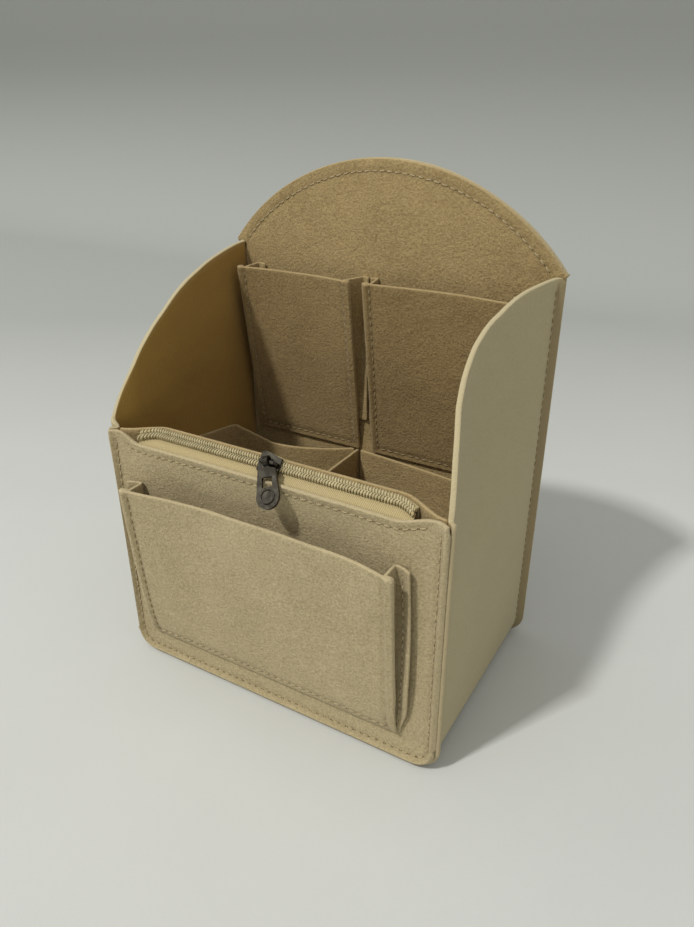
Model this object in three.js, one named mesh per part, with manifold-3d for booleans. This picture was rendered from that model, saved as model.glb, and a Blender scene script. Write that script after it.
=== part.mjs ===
// Felt organizer insert for a small backpack: a sewn box with an arched back, a zip pocket and a
// gusseted slip pocket in front, two slip pockets and two low pockets inside the back, and a divider.
// Millimetres. The front faces -Y, +X is on the viewer's right, +Z is up and the floor is Z = 0.
import * as THREE from 'three';
import Module from 'manifold-3d';
import { mergeVertices } from 'three/addons/utils/BufferGeometryUtils.js';

// Body
const WIDTH = 150;
const DEPTH = 92;
const FRONT_HEIGHT = 112.5;
const SHOULDER_HEIGHT = 173;
const ARCH_HEIGHT = 212.5;
const ARCH_OVERHANG = 3.6;
const ARCH_STEP = 1;
const CORNER_RADIUS = 8;
const WALL_FELT = 2;
const PANEL_FELT = 1.8;
const LINING_FELT = 1.5;
const SEAM_MARGIN = 3;
const WALL_CURVE_BACK = 24;
const WALL_CURVE_DROP = 2;
const LEFT_WALL_BOW = 2.3;
const LEFT_WALL_FLARE = 2.9;
const FLARE_LENGTH = 26;
const RIGHT_WALL_BOW = 10.4;
const BOW_SKEW = 0.85;
const BOW_CLEAR = 3;
const BOW_DROP = 23;
const GAP = 0.3;

// Zip
const ZIP_TILT = THREE.MathUtils.degToRad(50);
const ZIP_SETBACK = 6.75;
const ZIP_RISE = 3.9;
const ZIP_DROP = 4.4;
const ZIP_LEFT_MARGIN = 11;
const ZIP_RIGHT_MARGIN = 14;
const ZIP_END_DIP = 2;
const MOUTH_BOW = 9.8;
const MOUTH_MARGIN = 1;
const MOUTH_LEFT_RAMP = 18;
const MOUTH_RIGHT_RAMP = 22;
const LINING_DROP = 0.3;
const EDGE_LEFT_RAMP = 10;
const EDGE_RIGHT_RAMP = 18;
const TAPE_BEND = 1.5;
const TAPE_EDGE_DROP = 0.8;
const TAPE_THICKNESS = 0.6;
const TAPE_LAP = 6;
const COIL_TURNS = 48;
const COIL_HALF_WIDTH = 1;
const COIL_HALF_HEIGHT = 0.6;
const COIL_WIRE_RADIUS = 0.3;
const COIL_CENTRE = 0.85;
const OPEN_WIDTH = 0.35;
const SLIDER_NOSE = 5;
const SLIDER_TAIL = 4.5;
const SLIDER_SHOULDER = 3;
const SLIDER_PLATE = 0.9;
const SLIDER_RIM = 0.6;
const POST_HALF_WIDTH = 0.4;
const POST_LENGTH = 2.6;
const CROWN_RADIUS = 0.6;
const CROWN_HALF_LENGTH = 2.9;
const CROWN_LEG = 1.1;
const CROWN_HEIGHT = 4.6;
const PULL_LENGTH = 18.6;
const PULL_TOP_WIDTH = 7.4;
const PULL_LOW_WIDTH = 9.4;
const PULL_THICKNESS = 1.2;
const PULL_EYE_WALL = 0.65;
const PULL_EYE_LENGTH = 2.2;
const PULL_PLAY = 0.65;
const PULL_WINDOW_WIDTH = 4.2;
const PULL_WINDOW_HEIGHT = 4;
const PULL_WINDOW_DROP = 8.2;
const PULL_LEAN = THREE.MathUtils.degToRad(40);
const PULL_TURN = THREE.MathUtils.degToRad(25);

// Front slip pocket
const POCKET_FELT = 1.6;
const GUSSET_FELT = 1.2;
const FRONT_POCKET_LEFT_MARGIN = 10.5;
const FRONT_POCKET_RIGHT_MARGIN = 15;
const FRONT_POCKET_BOTTOM = 14;
const FRONT_POCKET_DROP = 21;
const FRONT_POCKET_DEPTH = 9.5;
const FRONT_POCKET_SAG = 4.5;
const FRONT_RIDGE = 3;
const FRONT_FLAP = 5.5;

// Back slip pockets
const BACK_POCKET_LEFT_MARGIN = 6;
const BACK_POCKET_RIGHT_MARGIN = 9;
const PLEAT_CENTRE = -6;
const PLEAT_LEFT_SIDE = 5;
const PLEAT_RIGHT_SIDE = 3;
const BACK_POCKET_RISE = 1.5;
const BACK_POCKET_DROP = 9;
const BACK_POCKET_DEPTH = 12;
const BACK_POCKET_SAG = 3;
const BACK_RIDGE = 2.6;
const BACK_FLAP = 4;

// Low pockets and divider
const LOW_HEIGHT = 79;
const LOW_FELT = 1.4;
const DIVIDER_X = -12;
const LOW_WALL_DISTANCE = 12;
const LOW_LEFT_BULGE = 5.5;
const LOW_RIGHT_HOLLOW = 3.5;
const LOW_FLAP = 10;
const LOW_TURN = 3;

// Derived places
const COS45 = Math.SQRT1_2;
const MITRE = Math.tan(Math.PI / 8);
const HALF = WIDTH / 2;
const BASE_Z = (SEAM_MARGIN + WALL_FELT / 2) * COS45;
const FLOOR_TOP = BASE_Z + WALL_FELT / 2;
const PLY_PITCH = PANEL_FELT + GAP;
const PANEL_PITCH = (WALL_FELT + PANEL_FELT) / 2 + GAP;
const PANEL_INSET = PANEL_PITCH * COS45;
const FRONT_Y = -DEPTH / 2 - PANEL_INSET;
const FRONT_FACE_Y = FRONT_Y - PANEL_FELT / 2;
const LINING_Y = FRONT_Y + PANEL_FELT / 2 + GAP + LINING_FELT / 2;
const BACK_Y = DEPTH / 2 + PANEL_INSET;
const BACK_FACE_Y = BACK_Y - PANEL_FELT / 2;
const OUTER_BEND = PLY_PITCH * (1 / COS45 - 1);
const OUTER_INSET = (PANEL_PITCH + PLY_PITCH - OUTER_BEND) * COS45;
const EDGE_Z = FRONT_HEIGHT - ZIP_DROP;
const ZIP_Y = FRONT_Y + ZIP_SETBACK;
const ZIP_Z = EDGE_Z + ZIP_RISE;
const ZIP_LEFT_END = ZIP_LEFT_MARGIN - HALF;
const ZIP_RIGHT_END = HALF - ZIP_RIGHT_MARGIN;
const MOUTH_END = HALF - MOUTH_MARGIN;
const MOUTH_FLAT = MOUTH_END - MOUTH_RIGHT_RAMP;
const LINING_TOP = FRONT_HEIGHT - LINING_DROP;
const TAPE_DROP = COIL_HALF_HEIGHT + COIL_WIRE_RADIUS + GAP + TAPE_THICKNESS / 2;
const COIL_REACH = COIL_CENTRE + COIL_HALF_WIDTH + COIL_WIRE_RADIUS;
const POST_SPREAD = COIL_HALF_WIDTH + COIL_WIRE_RADIUS - COIL_CENTRE + POST_HALF_WIDTH + GAP;
const SLIDER_HALF_WIDTH = COIL_REACH + POST_SPREAD + GAP + SLIDER_RIM;

const smooth = (t) => THREE.MathUtils.smoothstep(t, 0, 1);
const lerp = THREE.MathUtils.lerp;
const steps = (from, to, count) => Array.from({ length: count + 1 }, (_, i) => lerp(from, to, i / count));

const felt = (color) => new THREE.MeshStandardMaterial({ color, roughness: 0.95, metalness: 0 });
const FELT_LIGHT = 0xc9b58c;
const FELT_SMOOTH = 0xc4b692;
const TAPE_CREAM = 0xd8c790;
const COIL_KHAKI = 0xa3966c;
const GUNMETAL = 0x4a4742;

// Joins rings of equally many points into one closed body, closed on the first and last ring.
function loft(rings, close = cap) {
  const count = rings[0].length;
  const triangles = [];
  const push = (a, b, c) => {
    const flat = a.distanceTo(b) < 1e-4 || b.distanceTo(c) < 1e-4 || c.distanceTo(a) < 1e-4;
    if (!flat) triangles.push(a, b, c);
  };
  for (let r = 0; r + 1 < rings.length; r += 1) {
    for (let i = 0; i < count; i += 1) {
      const j = (i + 1) % count;
      push(rings[r][i], rings[r][j], rings[r + 1][j]);
      push(rings[r][i], rings[r + 1][j], rings[r + 1][i]);
    }
  }
  close(rings[0], true, push);
  close(rings[rings.length - 1], false, push);
  return outward(triangles);
}

// Closes a sheet's cut end, whose ring runs along one face and back along the other.
function endCap(ring, reversed, push) {
  const last = ring.length - 1;
  for (let i = 0; i < last - i - 1; i += 1) {
    const corners = [ring[i], ring[i + 1], ring[last - i - 1], ring[last - i]];
    const [a, b, c, d] = reversed ? corners.reverse() : corners;
    push(a, b, c);
    push(a, c, d);
  }
}

// Fills a ring, seen along the axis that its area faces most.
function cap(ring, reversed, push) {
  const normal = new THREE.Vector3();
  ring.forEach((p, i) => normal.add(p.clone().cross(ring[(i + 1) % ring.length])));
  const size = normal.toArray().map(Math.abs);
  const axis = size.indexOf(Math.max(...size));
  const part = (p, shift) => p.getComponent((axis + shift) % 3);
  const flat = ring.map((p) => new THREE.Vector2(part(p, 1), part(p, 2)));
  const turn = Math.sign(THREE.ShapeUtils.area(flat)) * (reversed ? -1 : 1);
  for (const [a, b, c] of THREE.ShapeUtils.triangulateShape(flat, [])) {
    const same = Math.sign(THREE.ShapeUtils.area([flat[a], flat[b], flat[c]])) === turn;
    if (same) push(ring[a], ring[b], ring[c]);
    else push(ring[a], ring[c], ring[b]);
  }
}

// Makes a geometry whose faces point out, whichever way the rings ran.
function outward(triangles) {
  let volume = 0;
  for (let i = 0; i < triangles.length; i += 3) {
    volume += triangles[i].dot(triangles[i + 1].clone().cross(triangles[i + 2]));
  }
  const ordered = volume > 0 ? triangles : triangles.reverse();
  return new THREE.BufferGeometry().setFromPoints(ordered);
}

// Outline of a sheet of the given thickness along a bent middle line in a plane.
function ribbon(line, thickness) {
  const normals = line.slice(1).map((p, i) => {
    const along = p.clone().sub(line[i]).normalize();
    return new THREE.Vector2(-along.y, along.x);
  });
  const offsets = line.map((p, i) => {
    const before = normals[Math.max(i - 1, 0)];
    const after = normals[Math.min(i, normals.length - 1)];
    const middle = before.clone().add(after).normalize();
    return middle.multiplyScalar(thickness / 2 / middle.dot(after));
  });
  const left = line.map((p, i) => p.clone().add(offsets[i]));
  const right = line.map((p, i) => p.clone().sub(offsets[i]));
  return left.concat(right.reverse());
}

const flatPoint = (x, y) => new THREE.Vector2(x, y);

// Middle line of the side strip: left wall, base and right wall, moved outward by a distance.
function stripLine(leftTop, rightTop, out, wallSteps) {
  const points = [];
  const lowZ = BASE_Z + CORNER_RADIUS;
  const inner = HALF - CORNER_RADIUS;
  const radius = CORNER_RADIUS + out;
  for (const z of steps(leftTop, lowZ, wallSteps)) points.push({ x: -HALF - out, z, nx: -1, nz: 0 });
  for (const side of [-1, 1]) {
    for (const a of steps(0, Math.PI / 2, 5)) {
      const turn = side < 0 ? a : Math.PI / 2 - a;
      const nx = side * Math.cos(turn);
      const nz = -Math.sin(turn);
      const skip = side < 0 ? a === 0 : turn === 0;
      if (!skip) points.push({ x: side * inner + nx * radius, z: lowZ + nz * radius, nx, nz });
    }
  }
  for (const z of steps(lowZ, rightTop, wallSteps)) points.push({ x: HALF + out, z, nx: 1, nz: 0 });
  return points;
}

// Height of a side wall's curved top edge.
function wallTop(y) {
  const t = THREE.MathUtils.clamp((y + DEPTH / 2) / DEPTH, 0, 1);
  const bend = WALL_CURVE_BACK / DEPTH;
  const a = 1 - 2 * bend;
  const u = Math.abs(a) < 1e-6 ? t : (-bend + Math.sqrt(bend * bend + a * t)) / a;
  const curve = SHOULDER_HEIGHT - WALL_CURVE_DROP;
  return (1 - u) ** 2 * FRONT_HEIGHT + 2 * u * (1 - u) * curve + u * u * SHOULDER_HEIGHT;
}

// How far along X a wall is bent at a place above the pockets. The right wall leans in, the left one
// flares out near the front and leans in behind that.
function wallBow(x, y, z) {
  const along = THREE.MathUtils.clamp(y + DEPTH / 2, 0, DEPTH);
  const low = LOW_HEIGHT + BOW_CLEAR;
  const up = smooth((z - low) / (SHOULDER_HEIGHT - BOW_DROP - low));
  if (x > 0) return -RIGHT_WALL_BOW * Math.sin(Math.PI * (along / DEPTH) ** BOW_SKEW) * up;
  const flare = smooth(along / FLARE_LENGTH * 2.6) * (1 - smooth(along / FLARE_LENGTH * 2 - 1));
  const lean = smooth((along / FLARE_LENGTH - 0.35) * 0.9) * smooth((DEPTH - along) / FLARE_LENGTH * 2);
  return (LEFT_WALL_BOW * lean - LEFT_WALL_FLARE * flare) * up;
}

// The strip is lofted from front to back; both edges turn out as seam margins at 45 degrees.
function sideStrip() {
  const reach = SEAM_MARGIN * COS45;
  const edge = DEPTH / 2;
  const stations = [{ y: -edge - reach, out: reach, flat: COS45, lean: COS45 }];
  stations.push({ y: -edge, out: 0, flat: 1, lean: MITRE });
  const inner = edge - SEAM_MARGIN;
  for (const y of steps(-inner, inner, 18)) stations.push({ y, out: 0, flat: 1, lean: 0 });
  stations.push({ y: edge, out: 0, flat: 1, lean: -MITRE });
  stations.push({ y: edge + reach, out: reach, flat: COS45, lean: -COS45 });
  const rings = stations.map(({ y, out, flat, lean }) => {
    const line = stripLine(wallTop(y), wallTop(y), out, 7);
    const side = (sign) => line.map((p) => new THREE.Vector3(
      p.x + wallBow(p.x, y, p.z) + sign * WALL_FELT / 2 * flat * p.nx,
      y + sign * WALL_FELT / 2 * lean,
      p.z + sign * WALL_FELT / 2 * flat * p.nz,
    ));
    return side(1).concat(side(-1).reverse());
  });
  return loft(rings, endCap);
}

// A flat panel with seam margins on its sides and bottom, turned at 45 degrees towards `facing`.
// `inset` is the bend line's distance inside the strip, `top` runs from the right end to the left.
function marginPanel(planeY, facing, inset, margin, sideTop, top) {
  const facingOut = new THREE.Vector3(0, facing, 0);
  const rings = [[], [], [], []];
  const half = PANEL_FELT / 2;
  for (const p of stripLine(sideTop, sideTop, -inset, 1)) {
    const out = new THREE.Vector3(p.nx, 0, p.nz);
    const bend = new THREE.Vector3(p.x, planeY, p.z);
    const across = facingOut.clone().addScaledVector(out, -MITRE);
    const tip = bend.clone().addScaledVector(out, margin * COS45).addScaledVector(facingOut, margin * COS45);
    const tipAcross = facingOut.clone().sub(out).multiplyScalar(COS45);
    rings[0].push(bend.clone().addScaledVector(across, half));
    rings[1].push(tip.clone().addScaledVector(tipAcross, half));
    rings[2].push(tip.clone().addScaledVector(tipAcross, -half));
    rings[3].push(bend.clone().addScaledVector(across, -half));
  }
  for (const p of top) {
    const front = new THREE.Vector3(p.x, planeY + facing * half, p.y);
    const rear = new THREE.Vector3(p.x, planeY - facing * half, p.y);
    rings[0].push(front);
    rings[1].push(front);
    rings[2].push(rear);
    rings[3].push(rear);
  }
  return loft(rings);
}

// Top edge of the back: an arc from shoulder to shoulder.
function archLine() {
  const reach = HALF + ARCH_OVERHANG;
  const start = SHOULDER_HEIGHT + ARCH_STEP;
  const rise = ARCH_HEIGHT - start;
  const radius = (reach * reach + rise * rise) / (2 * rise);
  const span = Math.asin(reach / radius);
  const centre = ARCH_HEIGHT - radius;
  return steps(span, -span, 28).map((a) => flatPoint(radius * Math.sin(a), centre + radius * Math.cos(a)));
}

// Top edge of the front ply: level under the zip, rising to the corners.
function zipEdgeLine() {
  const end = HALF - PANEL_INSET - PANEL_FELT * MITRE;
  return steps(end, -end, 24).map((x) => {
    const corner = smooth(1 - (end - Math.abs(x)) / (x < 0 ? EDGE_LEFT_RAMP : EDGE_RIGHT_RAMP));
    return flatPoint(x, EDGE_Z + ZIP_DROP * corner);
  });
}

// How far the zip pocket's mouth stands open at x, from 0 at the corners to 1 along the middle.
const mouth = (x) => smooth((MOUTH_END - Math.abs(x)) / (x < 0 ? MOUTH_LEFT_RAMP : MOUTH_RIGHT_RAMP));

// Middle of the zip pocket's rear ply, which bows back towards its top.
function liningY(x, z) {
  const up = THREE.MathUtils.clamp((z - FLOOR_TOP) / (FRONT_HEIGHT - FLOOR_TOP), 0, 1);
  return LINING_Y + MOUTH_BOW * mouth(x) * up ** 1.5;
}

// Lowest point of an inner sheet at x, just clear of the strip's base and rounded corners.
function floorAt(x, clear) {
  const into = Math.abs(x) - (HALF - CORNER_RADIUS);
  const radius = CORNER_RADIUS - WALL_FELT / 2 - clear;
  const rise = into > 0 ? radius - Math.sqrt(Math.max(radius * radius - into * into, 0)) : 0;
  return FLOOR_TOP + clear + rise;
}

// Stations along X that are closer where a sheet bends.
function spanStations(end, breaks) {
  return [...breaks.map((b) => -b), ...breaks.map((b) => b).reverse()]
    .concat([-end, end])
    .sort((a, b) => a - b);
}

function frontLining() {
  const end = HALF - WALL_FELT / 2 - 2 * GAP;
  const near = steps(0, 1, 10).slice(0, -1).map((t) => lerp(MOUTH_FLAT, end, t));
  const stations = spanStations(end, [MOUTH_FLAT * 0.2, MOUTH_FLAT * 0.6, ...near]);
  return loft(stations.map((x) => {
    const line = steps(floorAt(x, GAP), LINING_TOP, 8).map((z) => flatPoint(liningY(x, z), z));
    return ribbon(line, LINING_FELT).map((p) => new THREE.Vector3(x, p.x, p.y));
  }), endCap);
}

// Zip line: its place along X, and how far each coil half is pushed from the middle.
const zipY = (x) => ZIP_Y - MOUTH_BOW * (1 - mouth(x));
const zipZ = (x) => ZIP_Z - ZIP_END_DIP * (1 - mouth(x));
function zipSpread(x) {
  if (x > 0) return 0;
  const open = OPEN_WIDTH * smooth(-x / SLIDER_NOSE);
  const past = Math.max(0, -x - SLIDER_NOSE);
  const post = smooth((-x - 0.6) / 1.6) * (1 - smooth(past / (2 * SLIDER_NOSE)));
  return Math.max(open, POST_SPREAD * post);
}
function zipPoint(x, across, up) {
  return new THREE.Vector3(
    x,
    zipY(x) + across * Math.cos(ZIP_TILT) - up * Math.sin(ZIP_TILT),
    zipZ(x) + across * Math.sin(ZIP_TILT) + up * Math.cos(ZIP_TILT),
  );
}

// How near x is to the slider, from 0 away from it to 1 between its plates.
const slideReach = (x) => 1 - smooth((Math.abs(x) - SLIDER_NOSE - 0.5) / SLIDER_NOSE);

// A tape is lofted along X from its lap on the felt to its edge under the coil. Between the plates of
// the slider it runs out flat, and elsewhere it bends to the felt close to the coil.
function zipTape(section) {
  const near = 3 * SLIDER_NOSE - 1;
  const leftTurn = steps(ZIP_LEFT_END, MOUTH_LEFT_RAMP - MOUTH_END, 6);
  const left = steps(MOUTH_LEFT_RAMP - MOUTH_END, -near, 4).slice(1, -1);
  const middle = steps(-near, near, near);
  const right = steps(near, MOUTH_FLAT, 4).slice(1, -1);
  const rightTurn = steps(MOUTH_FLAT, ZIP_RIGHT_END, 6);
  return loft([...leftTurn, ...left, ...middle, ...right, ...rightTurn].map((x) => {
    const outline = ribbon(section(x), TAPE_THICKNESS);
    return outline.map((p) => new THREE.Vector3(x, p.x, p.y));
  }), endCap);
}
function frontTapeLine(x) {
  const lapY = FRONT_Y + PANEL_FELT / 2 + GAP + TAPE_THICKNESS / 2;
  const bend = lerp(COIL_REACH + zipSpread(x), SLIDER_HALF_WIDTH + GAP, slideReach(x));
  const under = zipPoint(x, -bend, -TAPE_DROP);
  const edge = zipPoint(x, -POST_HALF_WIDTH - zipSpread(x), -TAPE_DROP);
  return [
    flatPoint(lapY, EDGE_Z - TAPE_LAP),
    flatPoint(lapY, EDGE_Z - TAPE_EDGE_DROP),
    flatPoint(under.y, under.z),
    flatPoint(edge.y, edge.z),
  ];
}
function rearTapeLine(x) {
  const near = slideReach(x);
  const side = POST_HALF_WIDTH + zipSpread(x);
  const edge = zipPoint(x, side, -TAPE_DROP);
  const bend = zipPoint(x, lerp(Math.max(TAPE_BEND, side + 0.8), SLIDER_HALF_WIDTH + GAP, near), -TAPE_DROP);
  const clear = LINING_FELT / 2 + GAP + TAPE_THICKNESS / 2;
  const lap = [LINING_TOP - TAPE_THICKNESS, LINING_TOP - TAPE_LAP].map((z, i) => {
    const lifted = zipPoint(x, SLIDER_HALF_WIDTH + GAP + 0.3 * (i + 1), -TAPE_DROP);
    return flatPoint(lerp(liningY(x, z) - clear, lifted.y, near ** 2), lerp(z, lifted.z, near));
  });
  return [flatPoint(edge.y, edge.z), flatPoint(bend.y, bend.z), ...lap];
}

// One half of the coil: an unbroken wire wound on a flat oval core along the zip.
function zipCoil(side) {
  const turnSteps = 8;
  const wireSides = 5;
  const total = COIL_TURNS * turnSteps;
  const path = steps(0, COIL_TURNS, total).map((turn) => {
    const angle = turn * 2 * Math.PI;
    const pitch = (ZIP_RIGHT_END - ZIP_LEFT_END) / (COIL_TURNS + 0.5);
    const x = ZIP_LEFT_END + pitch * (turn + (side > 0 ? 0.5 : 0));
    const across = side * (COIL_CENTRE + zipSpread(x) + COIL_HALF_WIDTH * Math.cos(angle));
    return zipPoint(x, across, COIL_HALF_HEIGHT * Math.sin(angle));
  });
  const rings = path.map((p, i) => {
    const along = path[Math.min(i + 1, total)].clone().sub(path[Math.max(i - 1, 0)]).normalize();
    const first = new THREE.Vector3(1, 0, 0).cross(along).normalize();
    const second = along.clone().cross(first);
    return steps(0, 2 * Math.PI, wireSides).slice(1).map((a) => p.clone()
      .addScaledVector(first, COIL_WIRE_RADIUS * Math.cos(a))
      .addScaledVector(second, COIL_WIRE_RADIUS * Math.sin(a)));
  });
  printSelfGap(side > 0 ? 'rear coil' : 'front coil', path, turnSteps);
  return loft(rings);
}

// Least gap between turns, measured on the wire's points half a turn or more apart.
function printSelfGap(name, path, turnSteps) {
  let least = Infinity;
  path.forEach((p, i) => {
    for (let j = i + turnSteps / 2; j < Math.min(i + 2 * turnSteps, path.length); j += 1) {
      least = Math.min(least, p.distanceTo(path[j]));
    }
  });
  console.log(`${name}: least gap to itself ${(least - 2 * COIL_WIRE_RADIUS).toFixed(2)} mm`);
}

const wasm = await Module();
wasm.setup();

// Closed geometry to a solid for joining and cutting, and back.
function solid(geometry) {
  const bare = geometry.index ? geometry.toNonIndexed() : geometry.clone();
  bare.deleteAttribute('normal');
  bare.deleteAttribute('uv');
  const merged = mergeVertices(bare, 1e-4);
  return new wasm.Manifold(new wasm.Mesh({
    numProp: 3,
    vertProperties: new Float32Array(merged.attributes.position.array),
    triVerts: new Uint32Array(merged.index.array),
  }));
}
function geometryOf(body) {
  const mesh = body.getMesh();
  const geometry = new THREE.BufferGeometry();
  geometry.setAttribute('position', new THREE.BufferAttribute(mesh.vertProperties, 3));
  geometry.setIndex(new THREE.BufferAttribute(mesh.triVerts, 1));
  return geometry.toNonIndexed();
}
function slab(outline, depth, holes = [], curveSegments = 8) {
  const shape = new THREE.Shape(outline);
  shape.holes.push(...holes);
  return new THREE.ExtrudeGeometry(shape, { depth, bevelEnabled: false, curveSegments });
}

// Slider body, with X along the zip, Y across it and Z away from the pocket.
function zipSlider() {
  const upper = COIL_HALF_HEIGHT + COIL_WIRE_RADIUS + GAP;
  const lower = TAPE_DROP + TAPE_THICKNESS / 2 + GAP;
  const wide = SLIDER_HALF_WIDTH - SLIDER_RIM;
  const narrow = COIL_REACH + GAP;
  const rim = SLIDER_RIM;
  const outline = [
    flatPoint(-SLIDER_NOSE, wide + rim - 0.8),
    flatPoint(-SLIDER_NOSE + 1, wide + rim),
    flatPoint(-SLIDER_NOSE + SLIDER_SHOULDER, wide + rim),
    flatPoint(SLIDER_TAIL - 1, narrow + rim),
    flatPoint(SLIDER_TAIL, narrow + rim - 0.6),
  ];
  const plate = outline.concat(outline.map((p) => flatPoint(p.x, -p.y)).reverse()).reverse();
  let body = solid(slab(plate, SLIDER_PLATE).translate(0, 0, upper));
  body = body.add(solid(slab(plate, SLIDER_PLATE).translate(0, 0, -lower - SLIDER_PLATE)));
  const postX = -SLIDER_NOSE + 0.2;
  const post = [
    flatPoint(postX, POST_HALF_WIDTH),
    flatPoint(postX, -POST_HALF_WIDTH),
    flatPoint(postX + POST_LENGTH * 0.7, -POST_HALF_WIDTH),
    flatPoint(postX + POST_LENGTH, 0),
    flatPoint(postX + POST_LENGTH * 0.7, POST_HALF_WIDTH),
  ];
  body = body.add(solid(slab(post, upper + lower + 1).translate(0, 0, -lower - 0.5)));
  for (const side of [-1, 1]) {
    const flange = [
      flatPoint(-SLIDER_NOSE + 1, side * wide),
      flatPoint(-SLIDER_NOSE + SLIDER_SHOULDER, side * wide),
      flatPoint(SLIDER_TAIL - 1, side * narrow),
      flatPoint(SLIDER_TAIL - 1, side * (narrow + rim)),
      flatPoint(-SLIDER_NOSE + SLIDER_SHOULDER, side * (wide + rim)),
      flatPoint(-SLIDER_NOSE + 1, side * (wide + rim)),
    ];
    if (side > 0) flange.reverse();
    const drop = upper + COIL_HALF_HEIGHT;
    body = body.add(solid(slab(flange, drop + 0.4).translate(0, 0, upper - drop)));
  }
  const crownTop = CROWN_HEIGHT + CROWN_RADIUS;
  const crownEnd = CROWN_HALF_LENGTH + CROWN_LEG;
  const arch = [
    flatPoint(-crownEnd, upper + 0.3),
    flatPoint(crownEnd, upper + 0.3),
    flatPoint(crownEnd, crownTop - 1.2),
    flatPoint(crownEnd - 0.9, crownTop),
    flatPoint(-crownEnd + 0.9, crownTop),
    flatPoint(-crownEnd, crownTop - 1.2),
  ];
  const opening = new THREE.Path([
    flatPoint(-CROWN_HALF_LENGTH, upper + SLIDER_PLATE),
    flatPoint(-CROWN_HALF_LENGTH, CROWN_HEIGHT - CROWN_RADIUS),
    flatPoint(CROWN_HALF_LENGTH, CROWN_HEIGHT - CROWN_RADIUS),
    flatPoint(CROWN_HALF_LENGTH, upper + SLIDER_PLATE),
  ]);
  const bridge = slab(arch, 2 * CROWN_RADIUS, [opening]).rotateX(Math.PI / 2).translate(0, CROWN_RADIUS, 0);
  return geometryOf(body.add(solid(bridge)));
}

// Pull tab: a rolled eye, loose round the crown, and a plate with a window that widens to a round end.
function zipPull() {
  const eyeInner = CROWN_RADIUS * Math.SQRT2 + PULL_PLAY;
  const eyeOuter = eyeInner + PULL_EYE_WALL;
  const eyeLength = PULL_EYE_LENGTH;
  const eye = new THREE.Shape().absarc(0, 0, eyeOuter, 0, 2 * Math.PI, false);
  eye.holes.push(new THREE.Path().absarc(0, 0, eyeInner, 0, 2 * Math.PI, true));
  const roll = new THREE.ExtrudeGeometry(eye, { depth: eyeLength, bevelEnabled: false, curveSegments: 10 });
  roll.rotateY(Math.PI / 2).translate(-eyeLength / 2, 0, 0);
  const plateTop = -eyeOuter - GAP;
  const round = PULL_LOW_WIDTH / 2;
  const plate = new THREE.Shape();
  plate.moveTo(-eyeLength / 2, -eyeInner - 0.1);
  plate.lineTo(-eyeLength / 2, plateTop);
  plate.lineTo(-PULL_TOP_WIDTH / 2, plateTop - 0.9);
  plate.lineTo(-round, -PULL_LENGTH + round);
  plate.absarc(0, -PULL_LENGTH + round, round, Math.PI, 2 * Math.PI, false);
  plate.lineTo(PULL_TOP_WIDTH / 2, plateTop - 0.9);
  plate.lineTo(eyeLength / 2, plateTop);
  plate.lineTo(eyeLength / 2, -eyeInner - 0.1);
  plate.closePath();
  const windowTop = -PULL_WINDOW_DROP + PULL_WINDOW_HEIGHT / 2;
  plate.holes.push(new THREE.Path([
    flatPoint(-PULL_WINDOW_WIDTH / 2, windowTop),
    flatPoint(PULL_WINDOW_WIDTH / 2, windowTop),
    flatPoint(PULL_WINDOW_WIDTH / 2, windowTop - PULL_WINDOW_HEIGHT),
    flatPoint(-PULL_WINDOW_WIDTH / 2, windowTop - PULL_WINDOW_HEIGHT),
  ]));
  const flat = { depth: PULL_THICKNESS, bevelEnabled: false, curveSegments: 10 };
  const tab = new THREE.ExtrudeGeometry(plate, flat);
  tab.rotateX(Math.PI / 2).translate(0, PULL_THICKNESS / 2, 0);
  return geometryOf(solid(roll).add(solid(tab)));
}

// A pocket's face: it leans from its bottom seam to its mouth, which sags back in the middle.
// `seamY` is the face of the panel behind it and `facing` the side that the pocket stands on.
function pocketDepth(pocket, x, z) {
  const middle = (pocket.left + pocket.right) / 2;
  const across = Math.abs(x - middle) / ((pocket.right - pocket.left) / 2);
  const up = THREE.MathUtils.clamp((z - pocket.bottom) / (pocket.top - pocket.bottom), 0, 1);
  const full = pocket.depth - pocket.sag * (1 - Math.min(across, 1) ** 3);
  return full * up;
}
function pocketFace(pocket) {
  return loft(steps(pocket.left, pocket.right, 10).map((x) => {
    const line = steps(pocket.bottom, pocket.top, 4).map((z) => {
      const away = GAP + POCKET_FELT / 2 + pocketDepth(pocket, x, z);
      return flatPoint(pocket.seamY + pocket.facing * away, z);
    });
    return ribbon(line, POCKET_FELT).map((p) => new THREE.Vector3(x, p.x, p.y));
  }), endCap);
}

// A gusset runs from behind the face's ridge to the panel and ends in a flap sewn to the panel.
function gusset(pocket, webX, outward, flap, panelX) {
  const least = GUSSET_FELT + 2 * GAP;
  const rise = (pocket.top - pocket.bottom) / pocket.depth;
  const start = pocket.bottom + rise * least * 1.25;
  return loft(steps(start, pocket.top, 6).map((z) => {
    const behind = pocketDepth(pocket, webX, z);
    const slant = Math.abs(panelX - webX) / behind;
    const seat = GAP + GUSSET_FELT / 2;
    const line = [
      flatPoint(webX, pocket.seamY + pocket.facing * (behind - slant * GUSSET_FELT / 2)),
      flatPoint(panelX, pocket.seamY + pocket.facing * seat),
      flatPoint(panelX + outward * flap, pocket.seamY + pocket.facing * seat),
    ];
    return ribbon(line, GUSSET_FELT).map((p) => new THREE.Vector3(p.x, p.y, z));
  }), endCap);
}

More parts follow.
